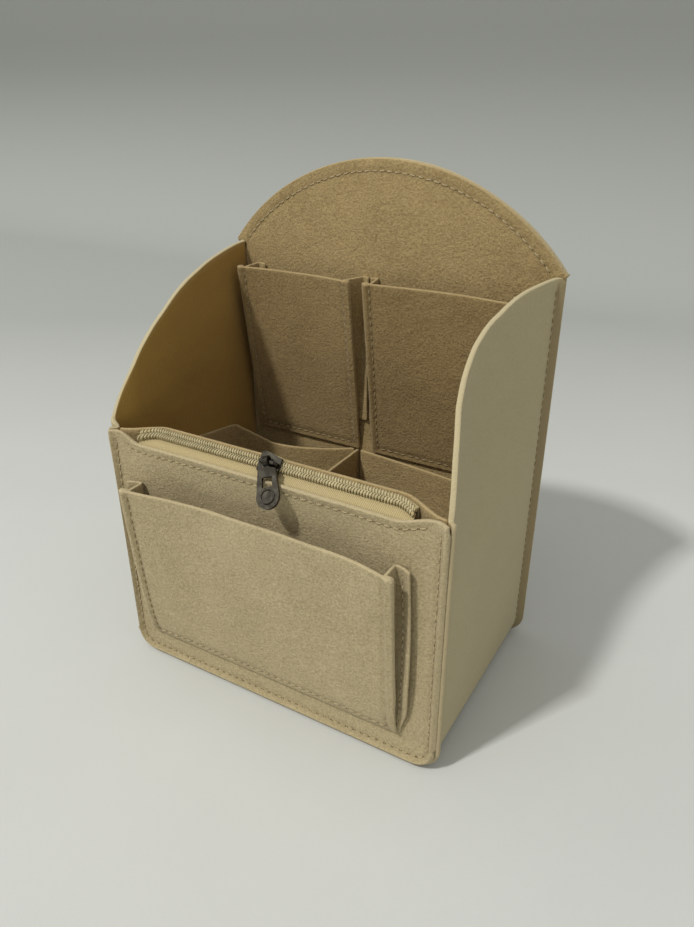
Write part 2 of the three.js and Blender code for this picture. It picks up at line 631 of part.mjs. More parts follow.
const frontPocket = {
  left: FRONT_POCKET_LEFT_MARGIN - HALF,
  right: HALF - FRONT_POCKET_RIGHT_MARGIN,
  bottom: FRONT_POCKET_BOTTOM,
  top: FRONT_HEIGHT - FRONT_POCKET_DROP,
  depth: FRONT_POCKET_DEPTH,
  sag: FRONT_POCKET_SAG,
  seamY: FRONT_FACE_Y,
  facing: -1,
};
const backPocket = {
  bottom: LOW_HEIGHT + BACK_POCKET_RISE,
  top: SHOULDER_HEIGHT - BACK_POCKET_DROP,
  depth: BACK_POCKET_DEPTH,
  sag: BACK_POCKET_SAG,
  seamY: BACK_FACE_Y,
  facing: -1,
};
const backLeft = {
  ...backPocket,
  left: BACK_POCKET_LEFT_MARGIN - HALF,
  right: PLEAT_CENTRE - PLEAT_LEFT_SIDE,
};
const backRight = {
  ...backPocket,
  left: PLEAT_CENTRE + PLEAT_RIGHT_SIDE,
  right: HALF - BACK_POCKET_RIGHT_MARGIN,
};

// A low pocket's sheet stands on the base, from a flap on the wall to the seam beside the divider.
function lowPocket(side, bulge) {
  const wallX = side * (HALF - WALL_FELT / 2 - GAP - LOW_FELT / 2);
  const wallY = BACK_FACE_Y - LOW_WALL_DISTANCE;
  const endX = DIVIDER_X + side * (LOW_FELT + 3 * GAP);
  const endY = BACK_FACE_Y - GAP - LOW_FELT / 2;
  const run = steps(0, 1, 8).slice(1).map((t) => {
    const swell = bulge * Math.max(Math.sin(Math.PI * Math.min(1, t * 1.02)), 0) ** 0.8;
    return flatPoint(lerp(wallX - side * LOW_TURN, endX, t), lerp(wallY, endY, t ** 2) - swell);
  });
  const line = [
    flatPoint(wallX, wallY - LOW_FLAP),
    flatPoint(wallX, wallY - LOW_TURN),
    flatPoint(wallX - side * LOW_TURN, wallY),
    ...run,
  ];
  const outline = ribbon(line, LOW_FELT);
  const foot = outline.map((p) => new THREE.Vector3(p.x, p.y, floorAt(p.x, GAP)));
  const rim = outline.map((p) => new THREE.Vector3(p.x, p.y, LOW_HEIGHT));
  return loft([foot, rim], endCap);
}

// The divider's front edge follows the bowed rear ply, its rear edge stands at the back panel.
function divider() {
  const low = FLOOR_TOP + GAP;
  const clear = LINING_FELT / 2 + GAP;
  const front = steps(low, LOW_HEIGHT, 6).map((z) => flatPoint(liningY(DIVIDER_X, z) + clear, z));
  const rear = BACK_FACE_Y - GAP;
  const outline = [...front, flatPoint(rear, LOW_HEIGHT), flatPoint(rear, low)];
  const sides = [DIVIDER_X - LOW_FELT / 2, DIVIDER_X + LOW_FELT / 2];
  return loft(sides.map((x) => outline.map((p) => new THREE.Vector3(x, p.x, p.y))));
}

const insert = new THREE.Group();
function add(name, geometry, material) {
  const mesh = new THREE.Mesh(geometry, material);
  mesh.name = name;
  insert.add(mesh);
  return mesh;
}

add('side_base_strip', sideStrip(), felt(FELT_SMOOTH));
const backInner = marginPanel(BACK_Y, 1, PANEL_INSET, SEAM_MARGIN, SHOULDER_HEIGHT, archLine());
const outerY = BACK_Y + PLY_PITCH;
const outerMargin = SEAM_MARGIN - OUTER_BEND;
const backOuter = marginPanel(outerY, 1, OUTER_INSET, outerMargin, SHOULDER_HEIGHT, archLine());
const frontOuter = marginPanel(FRONT_Y, -1, PANEL_INSET, SEAM_MARGIN, FRONT_HEIGHT, zipEdgeLine());
add('back_inner_panel', backInner, felt(FELT_LIGHT));
add('back_outer_panel', backOuter, felt(FELT_LIGHT));
add('front_outer_panel', frontOuter, felt(FELT_LIGHT));
add('front_inner_panel', frontLining(), felt(FELT_LIGHT));

add('zip_tape_front', zipTape(frontTapeLine), felt(TAPE_CREAM));
add('zip_tape_rear', zipTape(rearTapeLine), felt(TAPE_CREAM));
for (const [name, side] of [['zip_coil_front', -1], ['zip_coil_rear', 1]]) {
  const nylon = new THREE.MeshStandardMaterial({ color: COIL_KHAKI, roughness: 0.5, metalness: 0 });
  add(name, zipCoil(side), nylon);
}
const cast = () => new THREE.MeshStandardMaterial({ color: GUNMETAL, roughness: 0.4, metalness: 0.9 });
const slider = add('zip_slider', zipSlider(), cast());
slider.position.set(0, ZIP_Y, ZIP_Z);
slider.rotation.x = ZIP_TILT;
const pull = add('zip_pull', zipPull(), cast());
pull.position.copy(zipPoint(0, 0, CROWN_HEIGHT));
pull.rotation.set(-PULL_LEAN, -PULL_TURN, 0);

add('front_pocket_face', pocketFace(frontPocket), felt(FELT_LIGHT));
const frontLeftWeb = frontPocket.left + FRONT_RIDGE;
const frontRightWeb = frontPocket.right - FRONT_RIDGE;
const frontLeftGusset = gusset(frontPocket, frontLeftWeb, -1, FRONT_FLAP, frontLeftWeb);
const frontRightGusset = gusset(frontPocket, frontRightWeb, 1, FRONT_FLAP, frontRightWeb);
add('front_pocket_gusset_left', frontLeftGusset, felt(FELT_LIGHT));
add('front_pocket_gusset_right', frontRightGusset, felt(FELT_LIGHT));

add('back_pocket_left_face', pocketFace(backLeft), felt(FELT_LIGHT));
add('back_pocket_right_face', pocketFace(backRight), felt(FELT_LIGHT));
const backLeftWeb = backLeft.left + BACK_RIDGE;
const backRightWeb = backRight.right - BACK_RIDGE;
const pleatFlap = (PLEAT_LEFT_SIDE + PLEAT_RIGHT_SIDE) / 2 - GUSSET_FELT;
const pleatReach = pleatFlap + GUSSET_FELT / 2 + GAP;
const leftPleatWeb = backLeft.right - BACK_RIDGE;
const rightPleatWeb = backRight.left + BACK_RIDGE;
const leftPleat = gusset(backLeft, leftPleatWeb, 1, pleatFlap, PLEAT_CENTRE - pleatReach);
const rightPleat = gusset(backRight, rightPleatWeb, -1, pleatFlap, PLEAT_CENTRE + pleatReach);
const leftGusset = gusset(backLeft, backLeftWeb, 1, BACK_FLAP, backLeftWeb);
const rightGusset = gusset(backRight, backRightWeb, -1, BACK_FLAP, backRightWeb);
add('back_pocket_left_gusset', leftGusset, felt(FELT_LIGHT));
add('back_pocket_left_pleat', leftPleat, felt(FELT_LIGHT));
add('back_pocket_right_pleat', rightPleat, felt(FELT_LIGHT));
add('back_pocket_right_gusset', rightGusset, felt(FELT_LIGHT));

add('lower_pocket_left', lowPocket(-1, LOW_LEFT_BULGE), felt(FELT_LIGHT));
add('lower_pocket_right', lowPocket(1, -LOW_RIGHT_HOLLOW), felt(FELT_LIGHT));
add('centre_divider', divider(), felt(FELT_LIGHT));

// The origin stands on the floor under the middle of the whole part.
const middle = new THREE.Box3().setFromObject(insert).getCenter(new THREE.Vector3());
insert.position.y = -middle.y;

export default insert;
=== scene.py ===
import math

import bpy
import numpy as np
from mathutils import Matrix, Vector


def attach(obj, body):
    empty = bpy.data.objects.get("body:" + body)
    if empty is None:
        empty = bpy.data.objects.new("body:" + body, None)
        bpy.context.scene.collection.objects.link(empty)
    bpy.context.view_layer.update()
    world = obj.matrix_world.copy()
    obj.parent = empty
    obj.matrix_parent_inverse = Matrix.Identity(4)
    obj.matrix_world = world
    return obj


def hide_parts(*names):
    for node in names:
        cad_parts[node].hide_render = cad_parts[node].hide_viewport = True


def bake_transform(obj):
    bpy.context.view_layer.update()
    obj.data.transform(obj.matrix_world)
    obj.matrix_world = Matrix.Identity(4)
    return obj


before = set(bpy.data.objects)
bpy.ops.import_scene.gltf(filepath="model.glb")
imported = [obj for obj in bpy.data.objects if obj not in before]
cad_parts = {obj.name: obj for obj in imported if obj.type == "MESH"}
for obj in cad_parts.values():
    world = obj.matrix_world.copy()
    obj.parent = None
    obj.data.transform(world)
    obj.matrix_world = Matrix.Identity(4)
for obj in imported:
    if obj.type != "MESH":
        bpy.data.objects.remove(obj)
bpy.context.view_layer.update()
MM = 0.001

# Sizes of the body
SHIFT_Y = 4.0257
WIDTH = 150.0
DEPTH = 92.0
HALF = WIDTH / 2
EDGE = DEPTH / 2
FRONT_HEIGHT = 112.5
SHOULDER_HEIGHT = 173.0
ARCH_HEIGHT = 212.5
ARCH_OVERHANG = 3.6
CORNER_RADIUS = 8.0
WALL_FELT = 2.0
PANEL_FELT = 1.8
LINING_FELT = 1.5
SEAM_MARGIN = 3.0
BACK_MARGIN = 3.9
WALL_CURVE_BACK = 24.0
WALL_CURVE_DROP = 2.0
LEFT_WALL_BOW = 2.3
LEFT_WALL_FLARE = 3.3
FLARE_START = 1.2
FLARE_LENGTH = 13.0
LEAN_LENGTH = 26.0
RIGHT_WALL_BOW = 10.4
BOW_SKEW = 0.85
BOW_CLEAR = 3.0
BOW_DROP = 23.0
GAP = 0.3
SEAM_FILL = 0.6
FRONT_BOW = 4.0
BOW_LEVEL = 76.0
FLOOR_CLEAR = 1.1
FOLD_SOFT = 0.6
WALL_SEAM_OUT = 0.25
WALL_CHANNEL = 0.6
BOW_FOOT = 25.0
FRONT_SOFT = 2.6
ARCH_ROW = 4.6
MOUTH_ROW = 2.8
SEAM_OUT = 0.15
MARGIN_REACH = 8.0
MARGIN_FADE = 5.0
COS45 = math.sqrt(0.5)
FIN = SEAM_MARGIN * COS45
BASE_Z = (SEAM_MARGIN + WALL_FELT / 2) * COS45
FLOOR_TOP = BASE_Z + WALL_FELT / 2
PLY_PITCH = PANEL_FELT + GAP
PANEL_PITCH = (WALL_FELT + PANEL_FELT) / 2 + GAP
PANEL_INSET = PANEL_PITCH * COS45
OUTER_BEND = PLY_PITCH * (1 / COS45 - 1)
OUTER_INSET = (PANEL_PITCH + PLY_PITCH - OUTER_BEND) * COS45
FRONT_Y = -EDGE - PANEL_INSET
FRONT_FACE_Y = FRONT_Y - PANEL_FELT / 2
LINING_Y = FRONT_Y + PANEL_FELT / 2 + GAP + LINING_FELT / 2
BACK_Y = EDGE + PANEL_INSET
BACK_FACE_Y = BACK_Y - PANEL_FELT / 2

# Sizes of the zip
ZIP_TILT = math.radians(50)
ZIP_SETBACK = 6.75
ZIP_RISE = 3.9
ZIP_DROP = 4.4
ZIP_LEFT = 11.0 - HALF
ZIP_RIGHT = HALF - 14.0
ZIP_END_DIP = 2.0
MOUTH_BOW = 9.8
MOUTH_END = HALF - 1.0
MOUTH_LEFT_RAMP = 18.0
MOUTH_RIGHT_RAMP = 22.0
LINING_TOP = FRONT_HEIGHT - 0.3
EDGE_LEFT_RAMP = 10.0
EDGE_RIGHT_RAMP = 18.0
TAPE_BEND = 1.5
EDGE_Z = FRONT_HEIGHT - ZIP_DROP
ZIP_Y = FRONT_Y + ZIP_SETBACK
ZIP_Z = EDGE_Z + ZIP_RISE
TAPE = 0.6
TAPE_LAP = 6.0
TAPE_KNEE = 0.8
REAR_TAPE_LAP = 9.0
COIL_TURNS = 104
COIL_HALF_WIDTH = 1.0
COIL_HALF_HEIGHT = 0.6
COIL_WIRE = 0.3
CORE_HALF_WIDTH = 0.62
CORE_HALF_HEIGHT = 0.34
COIL_CENTRE = 0.85
OPEN_WIDTH = 0.22
SLIDER_NOSE = 5.0
SLIDER_TAPER = -2.0
SLIDE_SHARE = 0.8
SLIDE_INSIDE = 2.2
SLIDE_FADE = 3.0
CROWN_HEIGHT = 4.6
PULL_LEAN = math.radians(40)
PULL_TURN = math.radians(25)
PULL_HALF = 0.6
RIM_DROP = 13.9
RIM_RADIUS = 2.7
RIM_WIRE = 0.32
RIM_LIFT = 0.12
WORN_EDGE = 0.22
POST_HALF_WIDTH = 0.4
TAPE_DROP = COIL_HALF_HEIGHT + COIL_WIRE + GAP + TAPE / 2
COIL_REACH = COIL_CENTRE + COIL_HALF_WIDTH + COIL_WIRE
SLIDER_HALF_WIDTH = 2 * (COIL_HALF_WIDTH + COIL_WIRE + GAP) + POST_HALF_WIDTH + 0.6

# Sizes of the pockets
POCKET_FELT = 1.6
GUSSET_FELT = 1.2
GUSSET_POINTS = 30
RIDGE_EXTRA = 1.0
RIDGE_SWELL = 0.8
POCKET_CHANNEL = 0.65
CREASE_DEPTH = 1.0
FLAP_LIFT = 0.7
FRONT_FLAP_LIFT = 2.2
FLAP_BELLY = 1.5
FLAP_RISE = 30.0
FLAP_FOOT = 0.35
FLAP_OPENS = 0.16
FLAP_ROW = 3.0
FRONT_FLAP = 6.2
BACK_FLAP = 4.0
PLEAT_FLAP = BACK_FLAP - GUSSET_FELT
PLEAT_X = -6.0
LOW_HEIGHT = 79.0
LOW_FELT = 1.4
DIVIDER_X = -12.0
LOW_WALL_DISTANCE = 12.0
LOW_FLAP = 10.0
LOW_TURN = 3.0
LOW_RIM_SLOPE = 0.0235
LOW_PULL_SHARE = 0.3
LOW_RISE_SHARE = 0.35
FRONT_POCKET = dict(left=-64.5, right=60.0, bottom=14.0, top=91.5, depth=9.5, sag=5.2, curve=0.55)
FRONT_POCKET.update(seam=FRONT_FACE_Y, panel="front_outer_felt")
BACK_LEFT = dict(left=-69.0, right=-11.0, bottom=80.5, top=164.0, depth=12.0, sag=3.0, curve=1.0)
BACK_LEFT.update(seam=BACK_FACE_Y, panel="back_inner_felt")
BACK_RIGHT = dict(BACK_LEFT, left=-3.0, right=66.0)
FRONT_RIDGE = 3.0
FRONT_HEM = 2.2
BACK_HEM = 2.4
BACK_RIDGE = 2.6

# Thread
STITCH_PITCH = 3.5
STITCH_LENGTH = 2.7
THREAD_RADIUS = 0.3
HOLE_RADIUS = 0.27
HOLE_LIFT = 0.06
CHANNEL_WIDTH = 1.35
LIGHT_CHANNEL = 0.2
PITCH_SPREAD = 0.06
SLEW_SPREAD = 0.07

# Cut edges of felt: how far they bulge, the turns of their rings and how soon the painted highlight on them
# begins
EDGE_ROUND = 0.55
EDGE_TURNS = (67.5, 29.7, 0.0, -29.7, -67.5)
EDGE_HIGHLIGHT_FADE = 0.3

# Unevenness of felt: thickness and its wavelength, and slow waves of whole sheets
SWELL = 0.03
PANEL_SWELL = 0.035
SWELL_LENGTH = 5.0
WALL_SWELL_LENGTH = 6.0
WALL_WAVE = 0.35
WALL_WAVE_LENGTH = 46.0
WALL_RIPPLE = 0.12
WALL_RIPPLE_LENGTH = 17.0
PANEL_WAVE_LENGTH = 55.0
POCKET_WAVE = 0.45
POCKET_WAVE_LENGTH = 34.0
DIVIDER_WAVE = 0.35
DIVIDER_WAVE_LENGTH = 60.0


def smooth(t):
    t = np.clip(t, 0, 1)
    return t * t * (3 - 2 * t)


def noise(points, wavelength, seed):
    """Gentle seeded unevenness of about one unit, from sines in many directions."""
    rng = np.random.default_rng(seed)
    total = np.zeros(points.shape[:-1])
    for _ in range(10):
        way = rng.normal(size=3)
        way /= np.linalg.norm(way)
        k = 2 * math.pi / (wavelength * rng.uniform(0.6, 1.6))
        total += np.sin(points @ way * k + rng.uniform(0, 2 * math.pi))
    return total / 3.2


def spaced(low, high, step):
    count = max(2, int(round(abs(high - low) / step)) + 1)
    return np.linspace(low, high, count)


def crowded(count, power=1.6):
    """Places from -1 to 1, closer together towards both ends."""
    t = np.linspace(-1, 1, count)
    return np.sign(t) * (1 - (1 - np.abs(t)) ** power)


def unit(v):
    return v / np.maximum(np.linalg.norm(v, axis=-1, keepdims=True), 1e-9)


def mesh_object(name, points, faces, material, attributes=None):
    """A smooth mesh object from millimetre points."""
    shifted = np.asarray(points, float).reshape(-1, 3) + np.array([0.0, SHIFT_Y, 0.0])
    mesh = bpy.data.meshes.new(name)
    mesh.from_pydata((shifted * MM).tolist(), [], faces)
    for key, values in (attributes or {}).items():
        layer = mesh.attributes.new(key, "FLOAT", "POINT")
        layer.data.foreach_set("value", np.asarray(values, np.float32))
    mesh.polygons.foreach_set("use_smooth", [True] * len(mesh.polygons))
    mesh.materials.append(material)
    mesh.update()
    obj = bpy.data.objects.new(name, mesh)
    bpy.context.scene.collection.objects.link(obj)
    return obj


def fit(obj, body):
    """Ties a piece to the body that carries it."""
    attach(obj, body)


def tube(path, first, second, radius, sides):
    """Rings of points round a path, each in the plane of two directions."""
    a = np.linspace(0, 2 * math.pi, sides, endpoint=False)[None, :, None]
    around = np.cos(a) * first[:, None, :] + np.sin(a) * second[:, None, :]
    return path[:, None, :] + np.reshape(radius, (-1, 1, 1)) * around


def tube_faces(rows, sides, ring=False):
    """Faces of a tube: with two flat ends, or closed on itself as a ring."""
    index = np.arange(rows * sides).reshape(rows, sides)
    turned = np.roll(index, -1, axis=1)
    quads = np.stack([index, turned, np.roll(turned, -1, axis=0), np.roll(index, -1, axis=0)], -1)
    if ring:
        return quads.reshape(-1, 4).tolist()
    return quads[:-1].reshape(-1, 4).tolist() + [index[0][::-1].tolist(), index[-1].tolist()]


def grid_normals(points):
    return unit(np.cross(np.gradient(points, axis=0), np.gradient(points, axis=1)))


def nearest(points, path):
    """Distance from each point to the nearest of a path's points."""
    flat = points.reshape(-1, 3)
    best = np.full(len(flat), np.inf)
    for start in range(0, len(path), 64):
        part = path[start:start + 64]
        d = np.linalg.norm(flat[:, None, :] - part[None, :, :], axis=-1)
        best = np.minimum(best, d.min(axis=1))
    return best.reshape(points.shape[:-1])


class Sheet:
    """A sheet of felt over a grid of middle points, with its two faces and rounded cut edges."""

    def __init__(self, points, thickness, side=1, back_extra=0.0):
        self.points = points
        self.normals = grid_normals(points) * side
        self.front = np.full(points.shape[:2], thickness / 2)
        self.back = np.full(points.shape[:2], thickness / 2) + back_extra
        self.press_shade = np.zeros(points.shape[:2])
        self.fin = np.zeros(points.shape[:2])

    def channel(self, us, vs, depth):
        """Pulls the front face in along a row of stitches at grid places, and marks the row for painted
        shade.
        """
        near = np.exp(-((nearest(self.points, self.at(us, vs)[0]) / CHANNEL_WIDTH) ** 2))
        self.front = self.front - depth * near
        self.press_shade = np.maximum(self.press_shade, near)

    def swell(self, seed, amount=SWELL, wavelength=SWELL_LENGTH):
        """Uneven thickness of soft felt."""
        self.front = self.front + amount * noise(self.points, wavelength, seed)
        self.back = self.back + amount * noise(self.points, wavelength, seed + 1)

    def at(self, us, vs):
        """Points and outward directions on the front face at grid places."""
        us = np.clip(np.asarray(us, float), 0, self.points.shape[0] - 1.001)
        vs = np.clip(np.asarray(vs, float), 0, self.points.shape[1] - 1.001)
        i = us.astype(int)
        j = vs.astype(int)
        fu = (us - i)[:, None]
        fv = (vs - j)[:, None]

        def mix(a):
            low = a[i, j] * (1 - fu) + a[i + 1, j] * fu
            high = a[i, j + 1] * (1 - fu) + a[i + 1, j + 1] * fu
            return low * (1 - fv) + high * fv

        n = unit(mix(self.normals))
        return mix(self.points) + n * mix(self.front[..., None]), n

    def declare(self, obj, node, held, *rests_on):
        """Hides the imported solid that the sheet stands for."""
        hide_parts(node)

    def add(self, name, material, node, held, *rests_on, body="shell", slot="felt"):
        """Makes the piece, hides its solid and ties it to its body; slot is not used."""
        obj = self.build(name, material)
        self.declare(obj, node, held, *rests_on)
        fit(obj, body)

    def build(self, name, material):
        nu, nv = self.points.shape[:2]
        front = self.points + self.normals * self.front[..., None]
        back = self.points - self.normals * self.back[..., None]
        index = np.arange(nu * nv).reshape(nu, nv)
        loop = [(i, 0) for i in range(nu)]
        loop += [(nu - 1, j) for j in range(1, nv)]
        loop += [(i, nv - 1) for i in range(nu - 2, -1, -1)]
        loop += [(0, j) for j in range(nv - 2, 0, -1)]
        li = np.array([a for a, _ in loop])
        lj = np.array([b for _, b in loop])
        du = unit(np.gradient(self.points, axis=0))
        dv = unit(np.gradient(self.points, axis=1))
        out = np.zeros((len(loop), 3))
        out += du[li, lj] * ((li == nu - 1).astype(float) - (li == 0))[:, None]
        out += dv[li, lj] * ((lj == nv - 1).astype(float) - (lj == 0))[:, None]
        n = self.normals[li, lj]
        out -= n * np.sum(out * n, axis=1, keepdims=True)
        out = unit(out)
        middle = (front[li, lj] + back[li, lj]) / 2
        half = (front[li, lj] - back[li, lj]) / 2
        reach = np.linalg.norm(half, axis=1, keepdims=True) * EDGE_ROUND
        rings = []
        for angle in np.radians(EDGE_TURNS):
            rings.append(middle + half * math.sin(angle) + out * reach * math.cos(angle))
        verts = np.concatenate([front.reshape(-1, 3), back.reshape(-1, 3)] + rings)
        size = nu * nv
        rim = index[li, lj]
        # Painted highlight on the cut edges: full on the edge rings, weaker on the rim of each face.
        edge = np.zeros(len(verts))
        edge[2 * size:] = 1
        edge[rim] = EDGE_HIGHLIGHT_FADE
        edge[size + rim] = EDGE_HIGHLIGHT_FADE
        # Painted shade in the stitch grooves, where channels pull the front face in.
        press_shade = np.zeros(len(verts))
        press_shade[:2 * size] = np.tile(self.press_shade.ravel(), 2)
        # Painted shade on the turned-out seam margins.
        fin = np.concatenate([self.fin.ravel()] * 2 + [self.fin[li, lj]] * len(rings))
        # The back face, where some felts paint shade on the inner face.
        inside = np.zeros(len(verts))
        inside[size:2 * size] = 1
        quads = np.stack([index[:-1, :-1], index[1:, :-1], index[1:, 1:], index[:-1, 1:]], -1).reshape(-1, 4)
        faces = quads.tolist() + (quads[:, ::-1] + size).tolist()
        count = len(loop)
        ids = [rim] + [2 * size + r * count + np.arange(count) for r in range(len(rings))] + [size + rim]
        for upper, lower in zip(ids[:-1], ids[1:]):
            faces += np.stack([upper, lower, np.roll(lower, -1), np.roll(upper, -1)], -1).tolist()
        marks = {"edge": edge, "press_shade": press_shade, "fin": fin, "inside": inside}
        obj = mesh_object(name, verts, faces, material, marks)
        fix_facing(obj)
        return obj


def fix_facing(obj):
    """Turns the faces outward if the closed mesh is inside out."""
    mesh = obj.data
    co = np.zeros(len(mesh.vertices) * 3)
    mesh.vertices.foreach_get("co", co)
    co = co.reshape(-1, 3)
    mesh.calc_loop_triangles()
    tri = np.zeros(len(mesh.loop_triangles) * 3, int)
    mesh.loop_triangles.foreach_get("vertices", tri)
    a, b, c = (co[tri.reshape(-1, 3)[:, k]] for k in range(3))
    if np.sum(a * np.cross(b, c)) < 0:
        mesh.flip_normals()


# Stitches: short thread arches that dip into the felt at both ends.
def along(points, values, distances):
    steps = np.linalg.norm(np.diff(points, axis=0), axis=1)
    travel = np.concatenate([[0], np.cumsum(steps)])
    return np.stack([np.interp(distances, travel, values[:, k]) for k in range(values.shape[1])], -1)


def stitch_row(name, rows, material, body, seed, hole_shades=True):
    """rows is a list of (points, outward directions); all their stitches become one piece."""
    rng = np.random.default_rng(seed)
    verts = []
    faces = []
    dents = []
    along_thread = np.linspace(0, 1, 8)
    hump = np.sin(math.pi * along_thread)
    sides = 6
    pattern = tube_faces(len(along_thread), sides)
    for points, normals in rows:
        total = float(np.linalg.norm(np.diff(points, axis=0), axis=1).sum())
        count = max(1, int(total / STITCH_PITCH))
        pitch = total / count
        for k in range(count):
            middle = (k + 0.5) * pitch + rng.normal(0, PITCH_SPREAD)
            half = STITCH_LENGTH / 2 * rng.uniform(0.92, 1.06)
            d = np.clip(middle + (along_thread * 2 - 1) * half, 0, total)
            p = along(points, points, d)
            n = unit(along(points, normals, d))
            tangent = unit(np.gradient(p, axis=0))
            across = unit(np.cross(tangent, n))
            dents += [(p[e], n[e], across[e], tangent[e], rng.uniform(0.85, 1.2)) for e in (0, -1)]
            slew = rng.normal(0, SLEW_SPREAD) * (along_thread * 2 - 1)
            lift = THREAD_RADIUS * (1.55 * hump ** 0.6 - 0.95)
            p = p + n * lift[:, None] + across * slew[:, None]
            radius = THREAD_RADIUS * (0.72 + 0.28 * hump)
            faces += [[len(verts) + v for v in face] for face in pattern]
            verts += list(tube(p, across, n, radius, sides).reshape(-1, 3))
    obj = mesh_object(name, np.array(verts), faces, material)
    fit(obj, body)
    if hole_shades:
        needle_hole_shades(name.replace("stitches", "hole_shades"), dents, body)


def needle_hole_shades(name, dents, body):
    """Small dark marks that paint the shade of the needle holes where the thread enters the felt."""
    verts = []
    faces = []
    sides = 8
    for place, normal, across, tangent, size in dents:
        base = len(verts)
        verts += [place + normal * HOLE_LIFT, place - normal * HOLE_RADIUS]
        for k in range(sides):
            a = 2 * math.pi * k / sides
            spoke = across * math.cos(a) + tangent * 1.25 * math.sin(a)
            verts.append(place + normal * HOLE_LIFT * 0.4 + spoke * HOLE_RADIUS * size)
        for k in range(sides):
            a = base + 2 + k
            b = base + 2 + (k + 1) % sides
            faces += [(base, a, b), (base + 1, b, a)]
    obj = mesh_object(name, np.array(verts), faces, HOLE_SHADE)
    fix_facing(obj)
    fit(obj, body)


# Materials
def srgb(r, g, b):
    def linear(c):
        c /= 255
        return c / 12.92 if c <= 0.04045 else ((c + 0.055) / 1.055) ** 2.4
    return (linear(r), linear(g), linear(b), 1.0)


# Painted shade on the turned-out seam margins, mixed in where the fin mark is set.
MARGIN_SHADE_COLOR = srgb(140, 123, 90)
TONE_REACH = 0.14


class Nodes:
    """Short calls for building one material."""

    def __init__(self, name):
        self.material = bpy.data.materials.new(name)
        self.material.use_nodes = True
        self.tree = self.material.node_tree
        self.shader = self.tree.nodes["Principled BSDF"]
        self.place = self.tree.nodes.new("ShaderNodeTexCoord").outputs["Object"]

    def node(self, kind, links=None, **settings):
        made = self.tree.nodes.new(kind)
        for key, value in settings.items():
            if hasattr(made, key):
                setattr(made, key, value)
            else:
                made.inputs[key.replace("_", " ")].default_value = value
        for key, source in (links or {}).items():
            self.tree.links.new(source, made.inputs[key])
        return made

    def feed(self, socket, value):
        """Links a socket to another, or sets its value."""
        if isinstance(value, bpy.types.NodeSocket):
            self.tree.links.new(value, socket)
        else:
            socket.default_value = value

    def stretched(self, x, y, z):
        return self.node("ShaderNodeMapping", {"Vector": self.place}, Scale=(x, y, z)).outputs["Vector"]

    def noise(self, scale, detail=3.0, rough=0.55, distortion=0.0, place=None):
        settings = dict(Scale=scale, Detail=detail, Roughness=rough, Distortion=distortion)
        return self.node("ShaderNodeTexNoise", {"Vector": place or self.place}, **settings).outputs["Fac"]

    def ramp(self, source, low, high, first=0.0, last=1.0):
        settings = dict(From_Min=low, From_Max=high, To_Min=first, To_Max=last)
        return self.node("ShaderNodeMapRange", {"Value": source}, **settings).outputs["Result"]

    def mix(self, factor, first, second, blend="MIX"):
        made = self.node("ShaderNodeMix", data_type="RGBA", blend_type=blend)
        for socket, value in ((0, factor), (6, first), (7, second)):
            self.feed(made.inputs[socket], value)
        return made.outputs[2]

    def math(self, operation, first, second):
        made = self.node("ShaderNodeMath", operation=operation)
        self.feed(made.inputs[0], first)
        self.feed(made.inputs[1], second)
        return made.outputs["Value"]

    def total(self, *parts):
        """Sum of (source, share) pairs."""
        terms = [self.math("MULTIPLY", source, share) for source, share in parts]
        result = terms[0]
        for term in terms[1:]:
            result = self.math("ADD", result, term)
        return result

    def tint(self, mark, share, color, other):
        """Mixes another colour in where the mesh carries a mark."""
        factor = self.node("ShaderNodeAttribute", attribute_name=mark).outputs["Fac"]
        return self.mix(self.math("MULTIPLY", factor, share), color, other)

    def bump(self, height, strength, distance, below=None):
        made = self.node("ShaderNodeBump", {"Height": height}, Strength=strength, Distance=distance)
        if below is not None:
            self.tree.links.new(below, made.inputs["Normal"])
        return made.outputs["Normal"]

    def finish(self, color, normal, **sockets):
        for key, value in dict(sockets, Base_Color=color, Normal=normal).items():
            self.feed(self.shader.inputs[key.replace("_", " ")], value)
        return self.material


